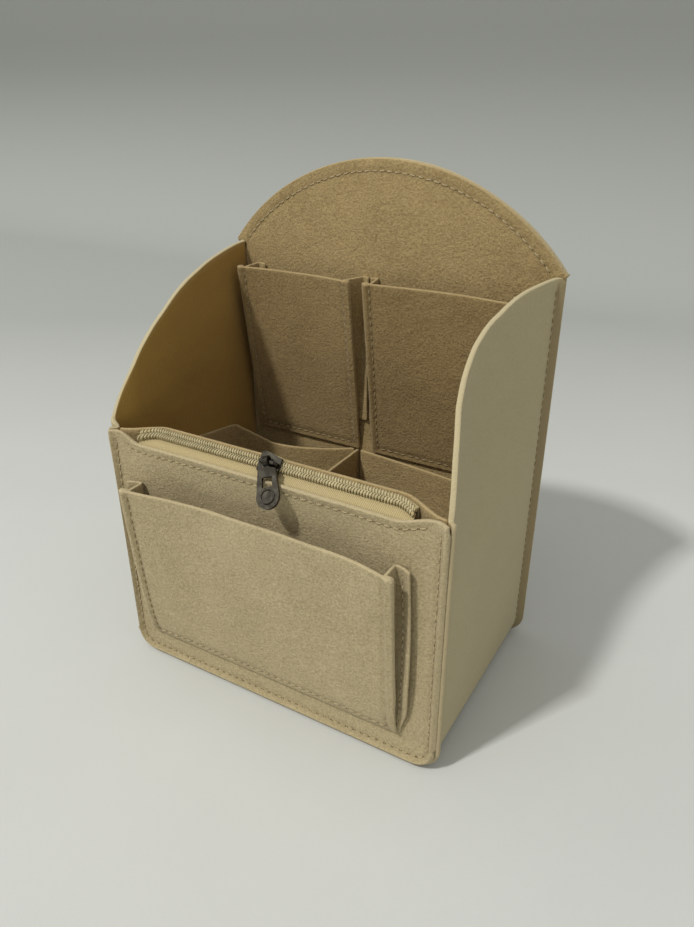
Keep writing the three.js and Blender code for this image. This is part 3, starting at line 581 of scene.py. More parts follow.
def felt_material(name, light, dark, edge, fibre=1.0, mottle=1.0, inside=None):
    """Pressed felt: a fine pebbled grain, loose fibres, soft mottling and faint creases, with a painted
    highlight on the cut edges, painted shade on the seam margins and in the stitch grooves, and painted shade
    on the inner face when inside is given.
    """
    n = Nodes(name)
    fine = n.noise(1050, 3, 0.62, 0.4)
    hairs = n.noise(400, 5, 0.72, 2.4, n.stretched(1.0, 1.0, 2.2))
    blotch = n.noise(110, 3, 0.6, 0.4)
    cloud = n.noise(24, 2, 0.5)
    shares = (0.60 * fibre, 0.16 * fibre, 0.10 * mottle, 0.12 * mottle)
    tone = n.total(*zip((fine, hairs, blotch, cloud), shares))
    middle = sum(shares) / 2
    color = n.mix(n.ramp(tone, middle - TONE_REACH, middle + TONE_REACH), dark, light)
    # Painted shade on the inner face: its colour is multiplied by the inside tint.
    if inside is not None:
        face = n.node("ShaderNodeAttribute", attribute_name="inside").outputs["Fac"]
        color = n.mix(face, color, inside, "MULTIPLY")
    # Painted shade in the stitch grooves and on the seam margins, and a painted highlight on the cut edges.
    groove_shade = tuple(0.5 * c for c in dark[:3]) + (1.0,)
    for mark, share, other in (("fin", 0.7, MARGIN_SHADE_COLOR), ("edge", 0.45, edge), ("press_shade", 0.3, groove_shade)):
        color = n.tint(mark, share, color, other)
    wander = n.math("ABSOLUTE", n.math("SUBTRACT", n.noise(46, 3, 0.5, 1.6), 0.5), 0.0)
    normal = n.bump(n.ramp(wander, 0.0, 0.035), 0.10 * mottle, 0.0009)
    normal = n.bump(blotch, 0.16 * mottle, 0.0013, normal)
    normal = n.bump(hairs, 0.35 * fibre, 0.0009, normal)
    normal = n.bump(fine, 0.75 * fibre, 0.0008, normal)
    sockets = dict(Sheen_Weight=0.12, Sheen_Roughness=0.5, Specular_IOR_Level=0.12)
    return n.finish(color, normal, Roughness=n.ramp(fine, 0.3, 0.7, 0.9, 1.0), **sockets)


# Painted shade: the dark colour of the needle holes stands for the shade inside them.
def hole_shade_material():
    n = Nodes("needle_hole_shade")
    tint = n.noise(700, 2)
    color = n.mix(n.ramp(tint, 0.3, 0.7), srgb(98, 84, 57), srgb(128, 112, 80))
    return n.finish(color, n.bump(tint, 0.2, 0.0002), Roughness=1.0, Specular_IOR_Level=0.05)


def thread_material(name, light, dark):
    n = Nodes(name)
    ply = n.noise(2600, 3, 0.6, 0.5)
    tint = n.noise(140, 2, 0.5)
    color = n.mix(n.ramp(ply, 0.3, 0.7), dark, light)
    color = n.mix(n.ramp(tint, 0.35, 0.65, 0, 0.4), color, dark)
    return n.finish(color, n.bump(ply, 0.5, 0.0003), Roughness=0.75, Sheen_Weight=0.1)


def tape_material():
    n = Nodes("tape")
    weave = n.noise(2100, 2, 0.5, 0.2, n.stretched(1.0, 1.7, 1.7))
    settings = dict(wave_type="BANDS", bands_direction="X", Scale=420, Distortion=1.2, Detail=1)
    ribs = n.node("ShaderNodeTexWave", {"Vector": n.place}, **settings).outputs["Fac"]
    both = n.total((weave, 0.6), (ribs, 0.4))
    color = n.mix(n.ramp(both, 0.25, 0.75), srgb(164, 146, 100), srgb(204, 187, 140))
    return n.finish(color, n.bump(both, 0.6, 0.0005), Roughness=0.85, Sheen_Weight=0.1)


def coil_material():
    n = Nodes("coil")
    tint = n.noise(300, 3, 0.6)
    color = n.mix(n.ramp(tint, 0.3, 0.7), srgb(168, 156, 118), srgb(208, 197, 158))
    return n.finish(color, n.bump(n.noise(900, 2), 0.15, 0.0002), Roughness=0.45)


def metal_material():
    n = Nodes("gunmetal")
    wear = n.noise(260, 5, 0.65, 0.5)
    grain = n.noise(1900, 3, 0.6)
    color = n.mix(n.ramp(wear, 0.42, 0.75), srgb(46, 43, 37), srgb(86, 82, 72))
    rough = n.ramp(grain, 0.3, 0.7, 0.30, 0.46)
    return n.finish(color, n.bump(grain, 0.12, 0.0002), Roughness=rough, Metallic=0.9)


# Light and dark tone, painted-highlight colour for the cut edges, share of fibre and mottle, and a tint that
# paints shade on the wall's inner face
FELT = felt_material("felt", srgb(199, 183, 144), srgb(157, 142, 106), srgb(204, 188, 150))
# Darker, warmer copy of the felt that paints shade on the inner panels, lining, gussets, low pockets and
# divider.
INNER_SHADE_TONES = (srgb(186, 163, 116), srgb(146, 124, 83), srgb(198, 178, 134))
FELT_INNER_SHADE = felt_material("felt_inner", *INNER_SHADE_TONES, 1.0, 1.5)
# Darker copy of the felt that paints shade on the back pockets' faces.
DEEP_SHADE_TONES = (srgb(167, 144, 99), srgb(130, 108, 70), srgb(188, 167, 124))
FELT_DEEP_SHADE = felt_material("felt_deep", *DEEP_SHADE_TONES, 1.0, 1.5)
WALL_TONES = (srgb(190, 179, 142), srgb(174, 161, 126), srgb(206, 192, 154))
# The wall's inner face takes painted shade from the last tint.
FELT_WALL = felt_material("felt_wall", *WALL_TONES, 0.5, 0.8, (0.78, 0.55, 0.22, 1.0))
HOLE_SHADE = hole_shade_material()
THREAD = thread_material("thread", srgb(200, 183, 143), srgb(160, 142, 105))
# Darker copy of the thread that paints shade on the wall seams, the back pockets and the pockets' side rows.
THREAD_SHADE = thread_material("thread_shade", srgb(164, 146, 108), srgb(138, 120, 84))
TAPE_CLOTH = tape_material()
COIL_NYLON = coil_material()
METAL = metal_material()


# Side and base strip: both walls and the base in one piece, its edges turned out as seam margins.
def wall_top(y):
    t = np.clip((y + EDGE) / DEPTH, 0, 1)
    bend = WALL_CURVE_BACK / DEPTH
    a = 1 - 2 * bend
    u = (-bend + np.sqrt(bend * bend + a * t)) / a
    curve = SHOULDER_HEIGHT - WALL_CURVE_DROP
    return (1 - u) ** 2 * FRONT_HEIGHT + 2 * u * (1 - u) * curve + u * u * SHOULDER_HEIGHT


def wall_bow(side, y, z):
    along_wall = np.clip(y + EDGE, 0, DEPTH)
    low = LOW_HEIGHT + BOW_CLEAR
    up = smooth((z - low) / (SHOULDER_HEIGHT - BOW_DROP - low))
    if side > 0:
        return -RIGHT_WALL_BOW * np.sin(math.pi * (along_wall / DEPTH) ** BOW_SKEW) * up
    flare = smooth(along_wall / FLARE_START) * (1 - smooth((along_wall - FLARE_START + 0.5) / FLARE_LENGTH))
    lean = smooth((along_wall / LEAN_LENGTH - 0.35) * 0.9) * smooth((DEPTH - along_wall) / LEAN_LENGTH)
    return LEFT_WALL_BOW * lean * up - LEFT_WALL_FLARE * flare * smooth((z - low) / (FRONT_HEIGHT - low))


def strip_profile():
    """Places along the strip's width: how far along Y, and how far it is turned out."""
    v = np.concatenate([
        np.linspace(-SEAM_MARGIN, 2.4, 17),
        np.linspace(3.4, DEPTH - 3.4, 78),
        np.linspace(DEPTH - 2.4, DEPTH + BACK_MARGIN, 20),
    ])
    fine = np.linspace(-SEAM_MARGIN, DEPTH + BACK_MARGIN, 4001)
    turn = 45 * smooth((fine - DEPTH + FOLD_SOFT) / (2 * FOLD_SOFT))
    turn += -45 * (1 - smooth((fine + FOLD_SOFT) / (2 * FOLD_SOFT)))
    step = fine[1] - fine[0]
    y = np.cumsum(np.cos(np.radians(turn))) * step
    out = np.cumsum(np.sin(np.radians(turn))) * step
    y += -EDGE - np.interp(0, fine, y)
    out -= np.interp(DEPTH / 2, fine, out)
    return v, np.interp(v, fine, y), np.interp(v, fine, out)


def make_strip():
    v, ys, outs = strip_profile()
    columns = []
    low = BASE_Z + CORNER_RADIUS
    inner = HALF - CORNER_RADIUS
    bend = np.linspace(0, math.pi / 2, 11)[1:-1]
    base_x = np.linspace(-inner, inner, 60)
    for y, out in zip(ys, outs):
        z = np.linspace(wall_top(y), low, 64)
        radius = CORNER_RADIUS + out
        left = np.stack([-HALF - out + wall_bow(-1, y, z), z], -1)
        corner = np.stack([-inner - np.cos(bend) * radius, low - np.sin(bend) * radius], -1)
        base = np.stack([base_x, np.full(len(base_x), low - radius)], -1)
        right = np.stack([HALF + out + wall_bow(1, y, z), z], -1)[::-1]
        column = np.concatenate([left, corner, base, corner[::-1] * np.array([-1, 1]), right])
        columns.append(np.insert(column, 1, y, axis=1))
    points = np.array(columns).transpose(1, 0, 2)
    waves = WALL_WAVE * noise(points, WALL_WAVE_LENGTH, 11)
    waves += WALL_RIPPLE * noise(points, WALL_RIPPLE_LENGTH, 12)
    wall = smooth((points[..., 2] - 20) / 30) * smooth((EDGE - 6 - np.abs(points[..., 1])) / 14)
    points[..., 0] += waves * wall
    points[..., 2] = np.maximum(points[..., 2], FLOOR_CLEAR)
    sheet = Sheet(points, WALL_FELT, side=-1 if grid_normals(points)[5, 40, 0] > 0 else 1)
    sheet.swell(21, SWELL, WALL_SWELL_LENGTH)
    # The fin mark paints shade on the turned-out seam margins.
    margins = smooth((-v - 0.1) / 0.8) + smooth((v - DEPTH - 0.1) / 0.8)
    sheet.fin = np.repeat(margins[None, :], len(points), axis=0)
    us = np.linspace(1.5, len(points) - 2.5, 520)
    seams = []
    for place in (-WALL_SEAM_OUT, DEPTH + WALL_SEAM_OUT):
        seams.append(np.full(len(us), np.interp(place, v, np.arange(len(v)))))
        sheet.channel(us, seams[-1], WALL_CHANNEL)
    sheet.add("wall_strip", FELT_WALL, "side_base_strip", "folded", "floor", slot="felt_smooth")
    rows = [sheet.at(us, vs) for vs in seams]
    stitch_row("wall_seam_stitches", rows, THREAD_SHADE, "shell", 31, hole_shades=False)


# Panels: flat sheets with seam margins on their sides and bottom.
def front_bow(x, z):
    """Share of the inward bow of the zip pocket's front ply, which is free between its seams and the zip."""
    above = np.clip((z - BOW_LEVEL) / (EDGE_Z - BOW_LEVEL), 0, 1)
    below = smooth((z - BOW_FOOT) / (BOW_LEVEL - BOW_FOOT))
    return (1 - above ** 2) * below * smooth((HALF - 8 - np.abs(x)) / 40)


class Panel:
    def __init__(self, plane_y, facing, inset, margin, side_top, top, reach, soft=0.75, bow=0.0):
        self.plane_y = plane_y
        self.facing = facing
        self.crease = HALF - inset
        self.radius = CORNER_RADIUS - inset
        self.low = BASE_Z + inset
        self.tip = margin * COS45
        self.side_top = side_top
        self.top = top
        self.reach = reach
        self.soft = soft
        self.bow = bow

    def beyond(self, x, z):
        """Distance outside the crease line; negative inside."""
        qx = np.abs(x) - (self.crease - self.radius)
        qz = self.low + self.radius - z
        outside = np.hypot(np.maximum(qx, 0), np.maximum(qz, 0))
        return outside + np.minimum(np.maximum(qx, qz), 0) - self.radius

    def half_width(self, z):
        wide = self.crease + self.tip
        return wide + (self.reach - wide) * smooth((z - self.side_top + 1.5) / 2.5)

    def bottom(self, x):
        wide = self.crease + self.tip
        radius = self.radius + self.tip
        into = np.clip(np.abs(x) - (wide - radius), 0, radius)
        return self.low - self.tip + radius - np.sqrt(np.maximum(radius * radius - into * into, 0))

    def place(self, x, z):
        e = self.beyond(x, z)
        fin = 0.5 * (e + np.sqrt(e * e + self.soft ** 2)) * smooth((e + MARGIN_REACH) / MARGIN_FADE)
        fin = fin * (1 - smooth((z - self.side_top + 2) / 3) * (self.reach > self.crease + self.tip + 0.5))
        return np.stack([x, self.plane_y + self.facing * (fin - self.bow * front_bow(x, z)), z], -1)

    def ends(self, s):
        """Lowest and highest level of the sheet at a share of its half width."""
        return self.bottom(s * (self.crease + self.tip)), self.top(s * self.reach)

    def grid(self, across, up):
        self.s = crowded(across)
        self.t = (crowded(up, 1.4) + 1) / 2
        low, high = self.ends(self.s)
        z = low[:, None] + (high - low)[:, None] * self.t[None, :]
        return self.place(self.s[:, None] * self.half_width(z), z)

    def uv(self, x, z):
        s = x / self.half_width(z)
        low, high = self.ends(s)
        t = (z - low) / (high - low)
        return np.interp(s, self.s, np.arange(len(self.s))), np.interp(t, self.t, np.arange(len(self.t)))

    def seam_line(self, inward, top):
        """Points just inside the crease, down one side, along the bottom and up the other."""
        w = self.crease - inward
        r = max(self.radius - inward, 0.5)
        low = self.low + inward
        turn = np.linspace(0, math.pi / 2, 12)
        left_z = np.linspace(top, low + r, 90)
        bottom_x = np.linspace(-w + r, w - r, 120)
        x = np.concatenate([np.full(90, -w), -w + r - r * np.cos(turn), bottom_x])
        z = np.concatenate([left_z, low + r - r * np.sin(turn), np.full(120, low)])
        return np.concatenate([x, -x[:102][::-1]]), np.concatenate([z, z[:102][::-1]])


ARCH_REACH = HALF + ARCH_OVERHANG
ARCH_RISE = ARCH_HEIGHT - SHOULDER_HEIGHT - 1
ARCH_RADIUS = (ARCH_REACH ** 2 + ARCH_RISE ** 2) / (2 * ARCH_RISE)


def arch(x):
    return ARCH_HEIGHT - ARCH_RADIUS + np.sqrt(np.maximum(ARCH_RADIUS ** 2 - x * x, 0))


def zip_edge(x):
    end = HALF - PANEL_INSET - PANEL_FELT * math.tan(math.pi / 8)
    ramp = np.where(x < 0, EDGE_LEFT_RAMP, EDGE_RIGHT_RAMP)
    return EDGE_Z + ZIP_DROP * smooth(1 - (end - np.abs(x)) / ramp)


def arch_line(inward):
    """Points at a distance inside the arched edge."""
    span = math.asin(ARCH_REACH / ARCH_RADIUS) - inward / ARCH_RADIUS
    a = np.linspace(-span, span, 160)
    radius = ARCH_RADIUS - inward
    return radius * np.sin(a), ARCH_HEIGHT - ARCH_RADIUS + radius * np.cos(a)


def add_panel(node, panel, side, material, seam_face, lines, seed, wave):
    """lines holds (x, z, depth) stitch lines; seam_face is the face that is sewn to the next ply."""
    across = 126
    up = 116
    points = panel.grid(across, up)
    beyond = panel.beyond(points[..., 0], points[..., 2])
    points[..., 1] += wave * noise(points, PANEL_WAVE_LENGTH, seed) * smooth((-beyond - 4) / 12)
    turned = grid_normals(points)[across // 2, up // 2][1] > 0
    sheet = Sheet(points, PANEL_FELT, side=side if turned else -side)
    sheet.swell(seed + 1, PANEL_SWELL)
    sewn = SEAM_FILL * smooth((beyond + 1.6) / 1.6)
    sewn *= 1 - smooth((points[..., 2] - panel.side_top + 4) / 3)
    if seam_face > 0:
        sheet.front = sheet.front + sewn
    else:
        sheet.back = sheet.back + sewn
    for x, z, depth in lines:
        sheet.channel(*panel.uv(x, z), depth)
    rows = [sheet.at(*panel.uv(x, z)) for x, z, _ in lines]
    sheet.add(node.replace("panel", "felt"), material, node, "stretched", "wall_strip")
    stitch_row(node + "_stitches", rows, THREAD, "shell", seed + 2)


def make_panels():
    inner = Panel(BACK_Y, 1, PANEL_INSET, BACK_MARGIN, SHOULDER_HEIGHT, arch, ARCH_REACH)
    ax, az = arch_line(ARCH_ROW)
    add_panel("back_inner_panel", inner, -1, FELT_INNER_SHADE, 1, [(ax, az, 0.45)], 41, 0.5)
    margin = BACK_MARGIN - OUTER_BEND
    outer = Panel(BACK_Y + PLY_PITCH, 1, OUTER_INSET, margin, SHOULDER_HEIGHT, arch, ARCH_REACH)
    sx, sz = outer.seam_line(-SEAM_OUT, SHOULDER_HEIGHT - 2)
    add_panel("back_outer_panel", outer, 1, FELT, -1, [(ax, az, 0.4), (sx, sz, 0.6)], 51, 0.4)
    reach = HALF - PANEL_INSET + FIN
    front = Panel(FRONT_Y, -1, PANEL_INSET, SEAM_MARGIN, FRONT_HEIGHT, zip_edge, reach, FRONT_SOFT, FRONT_BOW)
    fx, fz = front.seam_line(-SEAM_OUT, FRONT_HEIGHT - 4)
    tx = np.linspace(-68, 68, 160)
    tz = zip_edge(tx) - MOUTH_ROW
    add_panel("front_outer_panel", front, -1, FELT, -1, [(fx, fz, 0.75), (tx, tz, 0.4)], 61, 0.3)


# Rear ply of the zip pocket.
def mouth(x):
    return smooth((MOUTH_END - np.abs(x)) / np.where(x < 0, MOUTH_LEFT_RAMP, MOUTH_RIGHT_RAMP))


def lining_y(x, z):
    up = np.clip((z - FLOOR_TOP) / (FRONT_HEIGHT - FLOOR_TOP), 0, 1)
    return LINING_Y + MOUTH_BOW * mouth(x) * up ** 1.5


def floor_at(x, clear):
    radius = CORNER_RADIUS - WALL_FELT / 2 - clear
    into = np.clip(np.abs(x) - (HALF - CORNER_RADIUS), 0, radius)
    return FLOOR_TOP + clear + radius - np.sqrt(radius * radius - into * into)


def make_lining():
    end = HALF - WALL_FELT / 2 - 2 * GAP
    x = crowded(110) * end
    t = np.linspace(0, 1, 70)
    low = floor_at(x, GAP)
    z = low[:, None] + (LINING_TOP - low)[:, None] * t[None, :]
    xx = np.repeat(x[:, None], len(t), axis=1)
    points = np.stack([xx, lining_y(xx, z), z], -1)
    sheet = Sheet(points, LINING_FELT, side=1 if grid_normals(points)[50, 30, 1] > 0 else -1)
    sheet.swell(71)
    us = np.linspace(6, 103, 240)
    px = np.interp(us, np.arange(len(x)), x)
    share = 1 - MOUTH_ROW / (LINING_TOP - floor_at(px, GAP))
    vs = share * (len(t) - 1)
    sheet.channel(us, vs, LIGHT_CHANNEL)
    sheet.add("zip_pocket_lining", FELT_INNER_SHADE, "front_inner_panel", "stretched", "wall_strip")
    stitch_row("lining_stitches", [sheet.at(us, vs)], THREAD, "shell", 72)


# Zip: tapes, coil halves, slider and pull.
def zip_y(x):
    return ZIP_Y - MOUTH_BOW * (1 - mouth(x))


def zip_z(x):
    return ZIP_Z - ZIP_END_DIP * (1 - mouth(x))


def zip_spread(x):
    """How far each half stands from its closed place: a hair apart on the side that was last opened."""
    return OPEN_WIDTH * smooth(-x / SLIDER_NOSE)


def zip_point(x, across, up):
    y = zip_y(x) + across * math.cos(ZIP_TILT) - up * math.sin(ZIP_TILT)
    z = zip_z(x) + across * math.sin(ZIP_TILT) + up * math.cos(ZIP_TILT)
    return np.stack([x + 0 * y, y, z], -1)


def slide_reach(x):
    """How near x is to the slider, from 0 away from it to SLIDE_SHARE between its plates."""
    return SLIDE_SHARE * (1 - smooth((np.abs(x) - SLIDER_NOSE + SLIDE_INSIDE) / SLIDE_FADE))


def make_tapes():
    x = np.linspace(ZIP_LEFT, ZIP_RIGHT, 260)
    flat = np.zeros_like(x)
    near = slide_reach(x)
    spread = zip_spread(x)
    reaches = [SLIDER_HALF_WIDTH + GAP, COIL_REACH + 2 * GAP + 0.6]
    wide = np.interp(x, [SLIDER_TAPER, -SLIDER_TAPER + 1.5], reaches)
    side = POST_HALF_WIDTH + spread
    front_bend = (COIL_REACH + spread) * (1 - near) + wide * near
    rear_bend = np.maximum(TAPE_BEND, side + 0.8) * (1 - near) + wide * near
    front = []
    for z in (EDGE_Z - TAPE_LAP, EDGE_Z - TAPE_KNEE):
        y = FRONT_Y + PANEL_FELT / 2 + GAP + TAPE / 2 + FRONT_BOW * front_bow(x, z)
        front.append(np.stack([x, y, flat + z], -1))
    front += [zip_point(x, -across, flat - TAPE_DROP) for across in (front_bend, side)]
    rear = [zip_point(x, across, flat - TAPE_DROP) for across in (side, rear_bend)]
    clear = LINING_FELT / 2 + GAP + TAPE / 2
    for i, z in enumerate((LINING_TOP - TAPE, LINING_TOP - REAR_TAPE_LAP)):
        lifted = zip_point(x, flat + wide + 0.3 * (i + 1), flat - TAPE_DROP)
        y = (lining_y(x, z) - clear) * (1 - near ** 2) + lifted[:, 1] * near ** 2
        rear.append(np.stack([x, y, z * (1 - near) + lifted[:, 2] * near], -1))
    for part, corners, seat in (("front", front, "front_outer_felt"), ("rear", rear, "zip_pocket_lining")):
        rows = np.array(corners).transpose(1, 0, 2)
        sheet = Sheet(np.array([rounded(row, 26, 1) for row in rows]), TAPE)
        sheet.add(part + "_tape", TAPE_CLOTH, "zip_tape_" + part, "stretched", seat, slot="zip_tape")


def make_coil(side, name, node):
    total = COIL_TURNS * 12
    sides = 7
    turn = np.linspace(0, COIL_TURNS, total + 1)
    angle = turn * 2 * math.pi
    pitch = (ZIP_RIGHT - ZIP_LEFT) / (COIL_TURNS + 0.5)
    x = ZIP_LEFT + pitch * (turn + (0.5 if side > 0 else 0))
    across = side * (COIL_CENTRE + zip_spread(x) + COIL_HALF_WIDTH * np.cos(angle))
    path = zip_point(x, across, COIL_HALF_HEIGHT * np.sin(angle))
    tangent = unit(np.gradient(path, axis=0))
    first = unit(np.cross(np.array([1.0, 0, 0]), tangent))
    points = tube(path, first, np.cross(tangent, first), COIL_WIRE, sides)
    obj = mesh_object(name, points, tube_faces(total + 1, sides), COIL_NYLON)
    fix_facing(obj)
    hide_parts(node)
    fit(obj, "shell")


def make_core(side, name):
    """The filler cord that a coil half is wound on."""
    x = np.linspace(ZIP_LEFT, ZIP_RIGHT, 260)
    rings = []
    for a in np.linspace(0, 2 * math.pi, 10, endpoint=False):
        across = side * (COIL_CENTRE + zip_spread(x) + CORE_HALF_WIDTH * math.cos(a))
        rings.append(zip_point(x, across, np.full(len(x), CORE_HALF_HEIGHT * math.sin(a))))
    points = np.array(rings).transpose(1, 0, 2)
    obj = mesh_object(name, points, tube_faces(*points.shape[:2]), TAPE_CLOTH)
    fix_facing(obj)
    fit(obj, "shell")


def make_pull_rim():
    """The plain raised ring on the wide end of the pull, on both faces."""
    lean = np.array(Matrix.Rotation(-PULL_LEAN, 3, "X") @ Matrix.Rotation(-PULL_TURN, 3, "Y"))
    crown = zip_point(np.zeros(1), np.zeros(1), np.full(1, CROWN_HEIGHT))[0]
    around = 40
    sides = 8
    a = np.linspace(0, 2 * math.pi, around, endpoint=False)
    spoke = np.stack([np.cos(a), 0 * a, np.sin(a)], -1)
    axis = np.tile([0.0, 1.0, 0.0], (around, 1))
    verts = []
    faces = []
    for face in (-1, 1):
        path = spoke * RIM_RADIUS + np.array([0, face * (PULL_HALF + RIM_LIFT), -RIM_DROP])
        faces += [[len(verts) + v for v in quad] for quad in tube_faces(around, sides, ring=True)]
        verts += list(tube(path, spoke, axis, RIM_WIRE, sides).reshape(-1, 3) @ lean.T + crown)
    obj = mesh_object("pull_rim", np.array(verts), faces, METAL)
    fix_facing(obj)
    fit(obj, "pull")


def finish_metal():
    for node in ("zip_slider", "zip_pull"):
        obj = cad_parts[node]
        obj.data.materials.clear()
        obj.data.materials.append(METAL)
        bevel = obj.modifiers.new("worn_edges", "BEVEL")
        bevel.width = WORN_EDGE * MM
        bevel.segments = 3
        bevel.limit_method = "ANGLE"
        bevel.angle_limit = math.radians(35)


# Slip pockets.
def pocket_depth(pocket, x, z):
    middle = (pocket["left"] + pocket["right"]) / 2
    across = np.abs(x - middle) / ((pocket["right"] - pocket["left"]) / 2)
    up = np.clip((z - pocket["bottom"]) / (pocket["top"] - pocket["bottom"]), 0, 1)
    return (pocket["depth"] - pocket["sag"] * (1 - np.minimum(across, 1) ** 3)) * up ** pocket["curve"]


def make_pocket(name, node, body, pocket, ridge, seed, material, rows):
    """rows holds (kind, place): a side row or crease at an x, or a bottom row at a height over the foot."""
    left, right = pocket["left"], pocket["right"]
    bottom, top = pocket["bottom"], pocket["top"]
    x = spaced(left, right, 0.9)
    z = spaced(bottom, top, 1.0)
    xx, zz = np.meshgrid(x, z, indexing="ij")
    away = GAP + POCKET_FELT / 2 + pocket_depth(pocket, xx, zz)
    points = np.stack([xx, pocket["seam"] - away, zz], -1)
    up = (zz - bottom) / (top - bottom)
    calm = smooth((xx - left - ridge) / 12) * smooth((right - ridge - xx) / 12) * smooth(up / 0.35)
    drawn = points * np.array([1.0, 1.0, 0.45])
    points[..., 1] -= POCKET_WAVE * noise(drawn, POCKET_WAVE_LENGTH, seed) * calm
    far = np.maximum(left + ridge - xx, xx - right + ridge)
    lip = RIDGE_EXTRA * smooth((far + 0.2) / 0.8) * smooth((up - 0.1) / 0.2)
    facing = 1 if grid_normals(points)[20, 20, 1] < 0 else -1
    sheet = Sheet(points, POCKET_FELT, side=facing, back_extra=lip)
    sheet.swell(seed + 1, PANEL_SWELL)
    tubed = np.sin(math.pi * np.clip(far / ridge, 0, 1)) ** 0.8
    sheet.front = sheet.front + RIDGE_SWELL * tubed * smooth(up / 0.1)
    lines = {"side": [], "crease": [], "bottom": []}
    for kind, place in rows:
        if kind == "bottom":
            px = np.linspace(left + ridge + 1, right - ridge - 1, 200)
            pz = np.full(len(px), bottom + place)
        else:
            pz = np.linspace(bottom + 1.5, top - 1.5, 140)
            px = np.full(len(pz), place)
        line = (np.interp(px, x, np.arange(len(x))), np.interp(pz, z, np.arange(len(z))))
        sheet.channel(*line, CREASE_DEPTH if kind == "crease" else POCKET_CHANNEL)
        lines[kind].append(line)
    sheet.add(name, material, node, "stretched", pocket["panel"], body=body)
    sides = [sheet.at(*line) for line in lines["side"]]
    stitch_row(name + "_side_stitches", sides, THREAD_SHADE, body, seed + 2, hole_shades=False)
    thread = THREAD_SHADE if material is FELT_DEEP_SHADE else THREAD
    stitch_row(name + "_stitches", [sheet.at(*line) for line in lines["bottom"]], thread, body, seed + 3)


def rounded(corners, count, passes=3):
    """A line through corners with soft bends, as evenly spaced points."""
    line = np.array(corners, float)
    for _ in range(passes):
        a = line[:-1] * 0.75 + line[1:] * 0.25
        b = line[:-1] * 0.25 + line[1:] * 0.75
        inner = np.empty((2 * len(a), line.shape[1]))
        inner[0::2] = a
        inner[1::2] = b
        line = np.concatenate([line[:1], inner[1:-1], line[-1:]])
    travel = np.concatenate([[0], np.cumsum(np.linalg.norm(np.diff(line, axis=0), axis=1))])
    even = np.linspace(0, travel[-1], count)
    return np.stack([np.interp(even, travel, line[:, k]) for k in range(line.shape[1])], -1)


def make_gusset(name, node, body, pocket, web_x, outward, flap, panel_x, material, seed, foot_edge=None):
    """A folded strip from behind the face to the panel; with foot_edge it runs on beside the face's foot."""
    bottom, top, seam = pocket["bottom"], pocket["top"], pocket["seam"]
    share = (GUSSET_FELT + 2 * GAP) * 1.25 / pocket["depth"]
    start = bottom + (top - bottom) * share ** (1 / pocket["curve"])
    seat = seam - GAP - GUSSET_FELT / 2
    flap_lift = FLAP_LIFT if foot_edge is None else FRONT_FLAP_LIFT
    levels = spaced(start, top, 1.0)
    if foot_edge is not None:
        levels = np.concatenate([spaced(bottom + 0.5, start - 1.0, 1.0), levels])
    rings = []
    for level in levels:
        behind = float(pocket_depth(pocket, np.array(web_x), level))
        reach = flap
        if foot_edge is not None:
            up = (level - bottom) / (top - bottom)
            edge = abs(foot_edge - panel_x)
            wide = flap + FLAP_BELLY * math.sin(math.pi * up)
            reach = edge + (wide - edge) * (FLAP_FOOT + (1 - FLAP_FOOT) * float(smooth(up / FLAP_OPENS)))
        end = panel_x + outward * reach
        lift = flap_lift * float(smooth((level - bottom) / FLAP_RISE))
        if level < start:
            flat = np.linspace(foot_edge + outward * 0.1, end, 5)
            corners = [(x, seat - lift * k / 4) for k, x in enumerate(flat)]
        else:
            slant = abs(panel_x - web_x) / behind
            corners = [
                (web_x, seam - behind + slant * GUSSET_FELT / 2),
                (web_x + (panel_x - web_x) * 0.7, seat - (behind - seam + seat) * 0.3),
                (panel_x, seat),
                ((panel_x + end) / 2, seat - lift * 0.3),
                (end, seat - lift),
            ]
        rings.append(np.insert(rounded(corners, GUSSET_POINTS), 2, level, axis=1))
    points = np.array(rings)
    sheet = Sheet(points, GUSSET_FELT, side=1 if grid_normals(points)[-20, 27, 1] < 0 else -1)
    sheet.swell(seed)
    if foot_edge is not None:
        width = np.linalg.norm(np.diff(points, axis=1), axis=2).sum(axis=1)
        us = np.linspace(int(np.searchsorted(levels, start)) + 4, len(levels) - 3, 120)
        vs = (GUSSET_POINTS - 1) * (1 - FLAP_ROW / width[us.astype(int)])
        sheet.channel(us, vs, LIGHT_CHANNEL)
    obj = sheet.build(name, material)
    sheet.declare(obj, node, "folded", pocket["panel"])
    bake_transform(obj)
    if foot_edge is not None:
        stitch_row(name + "_stitches", [sheet.at(us, vs)], THREAD, "shell", seed + 1)


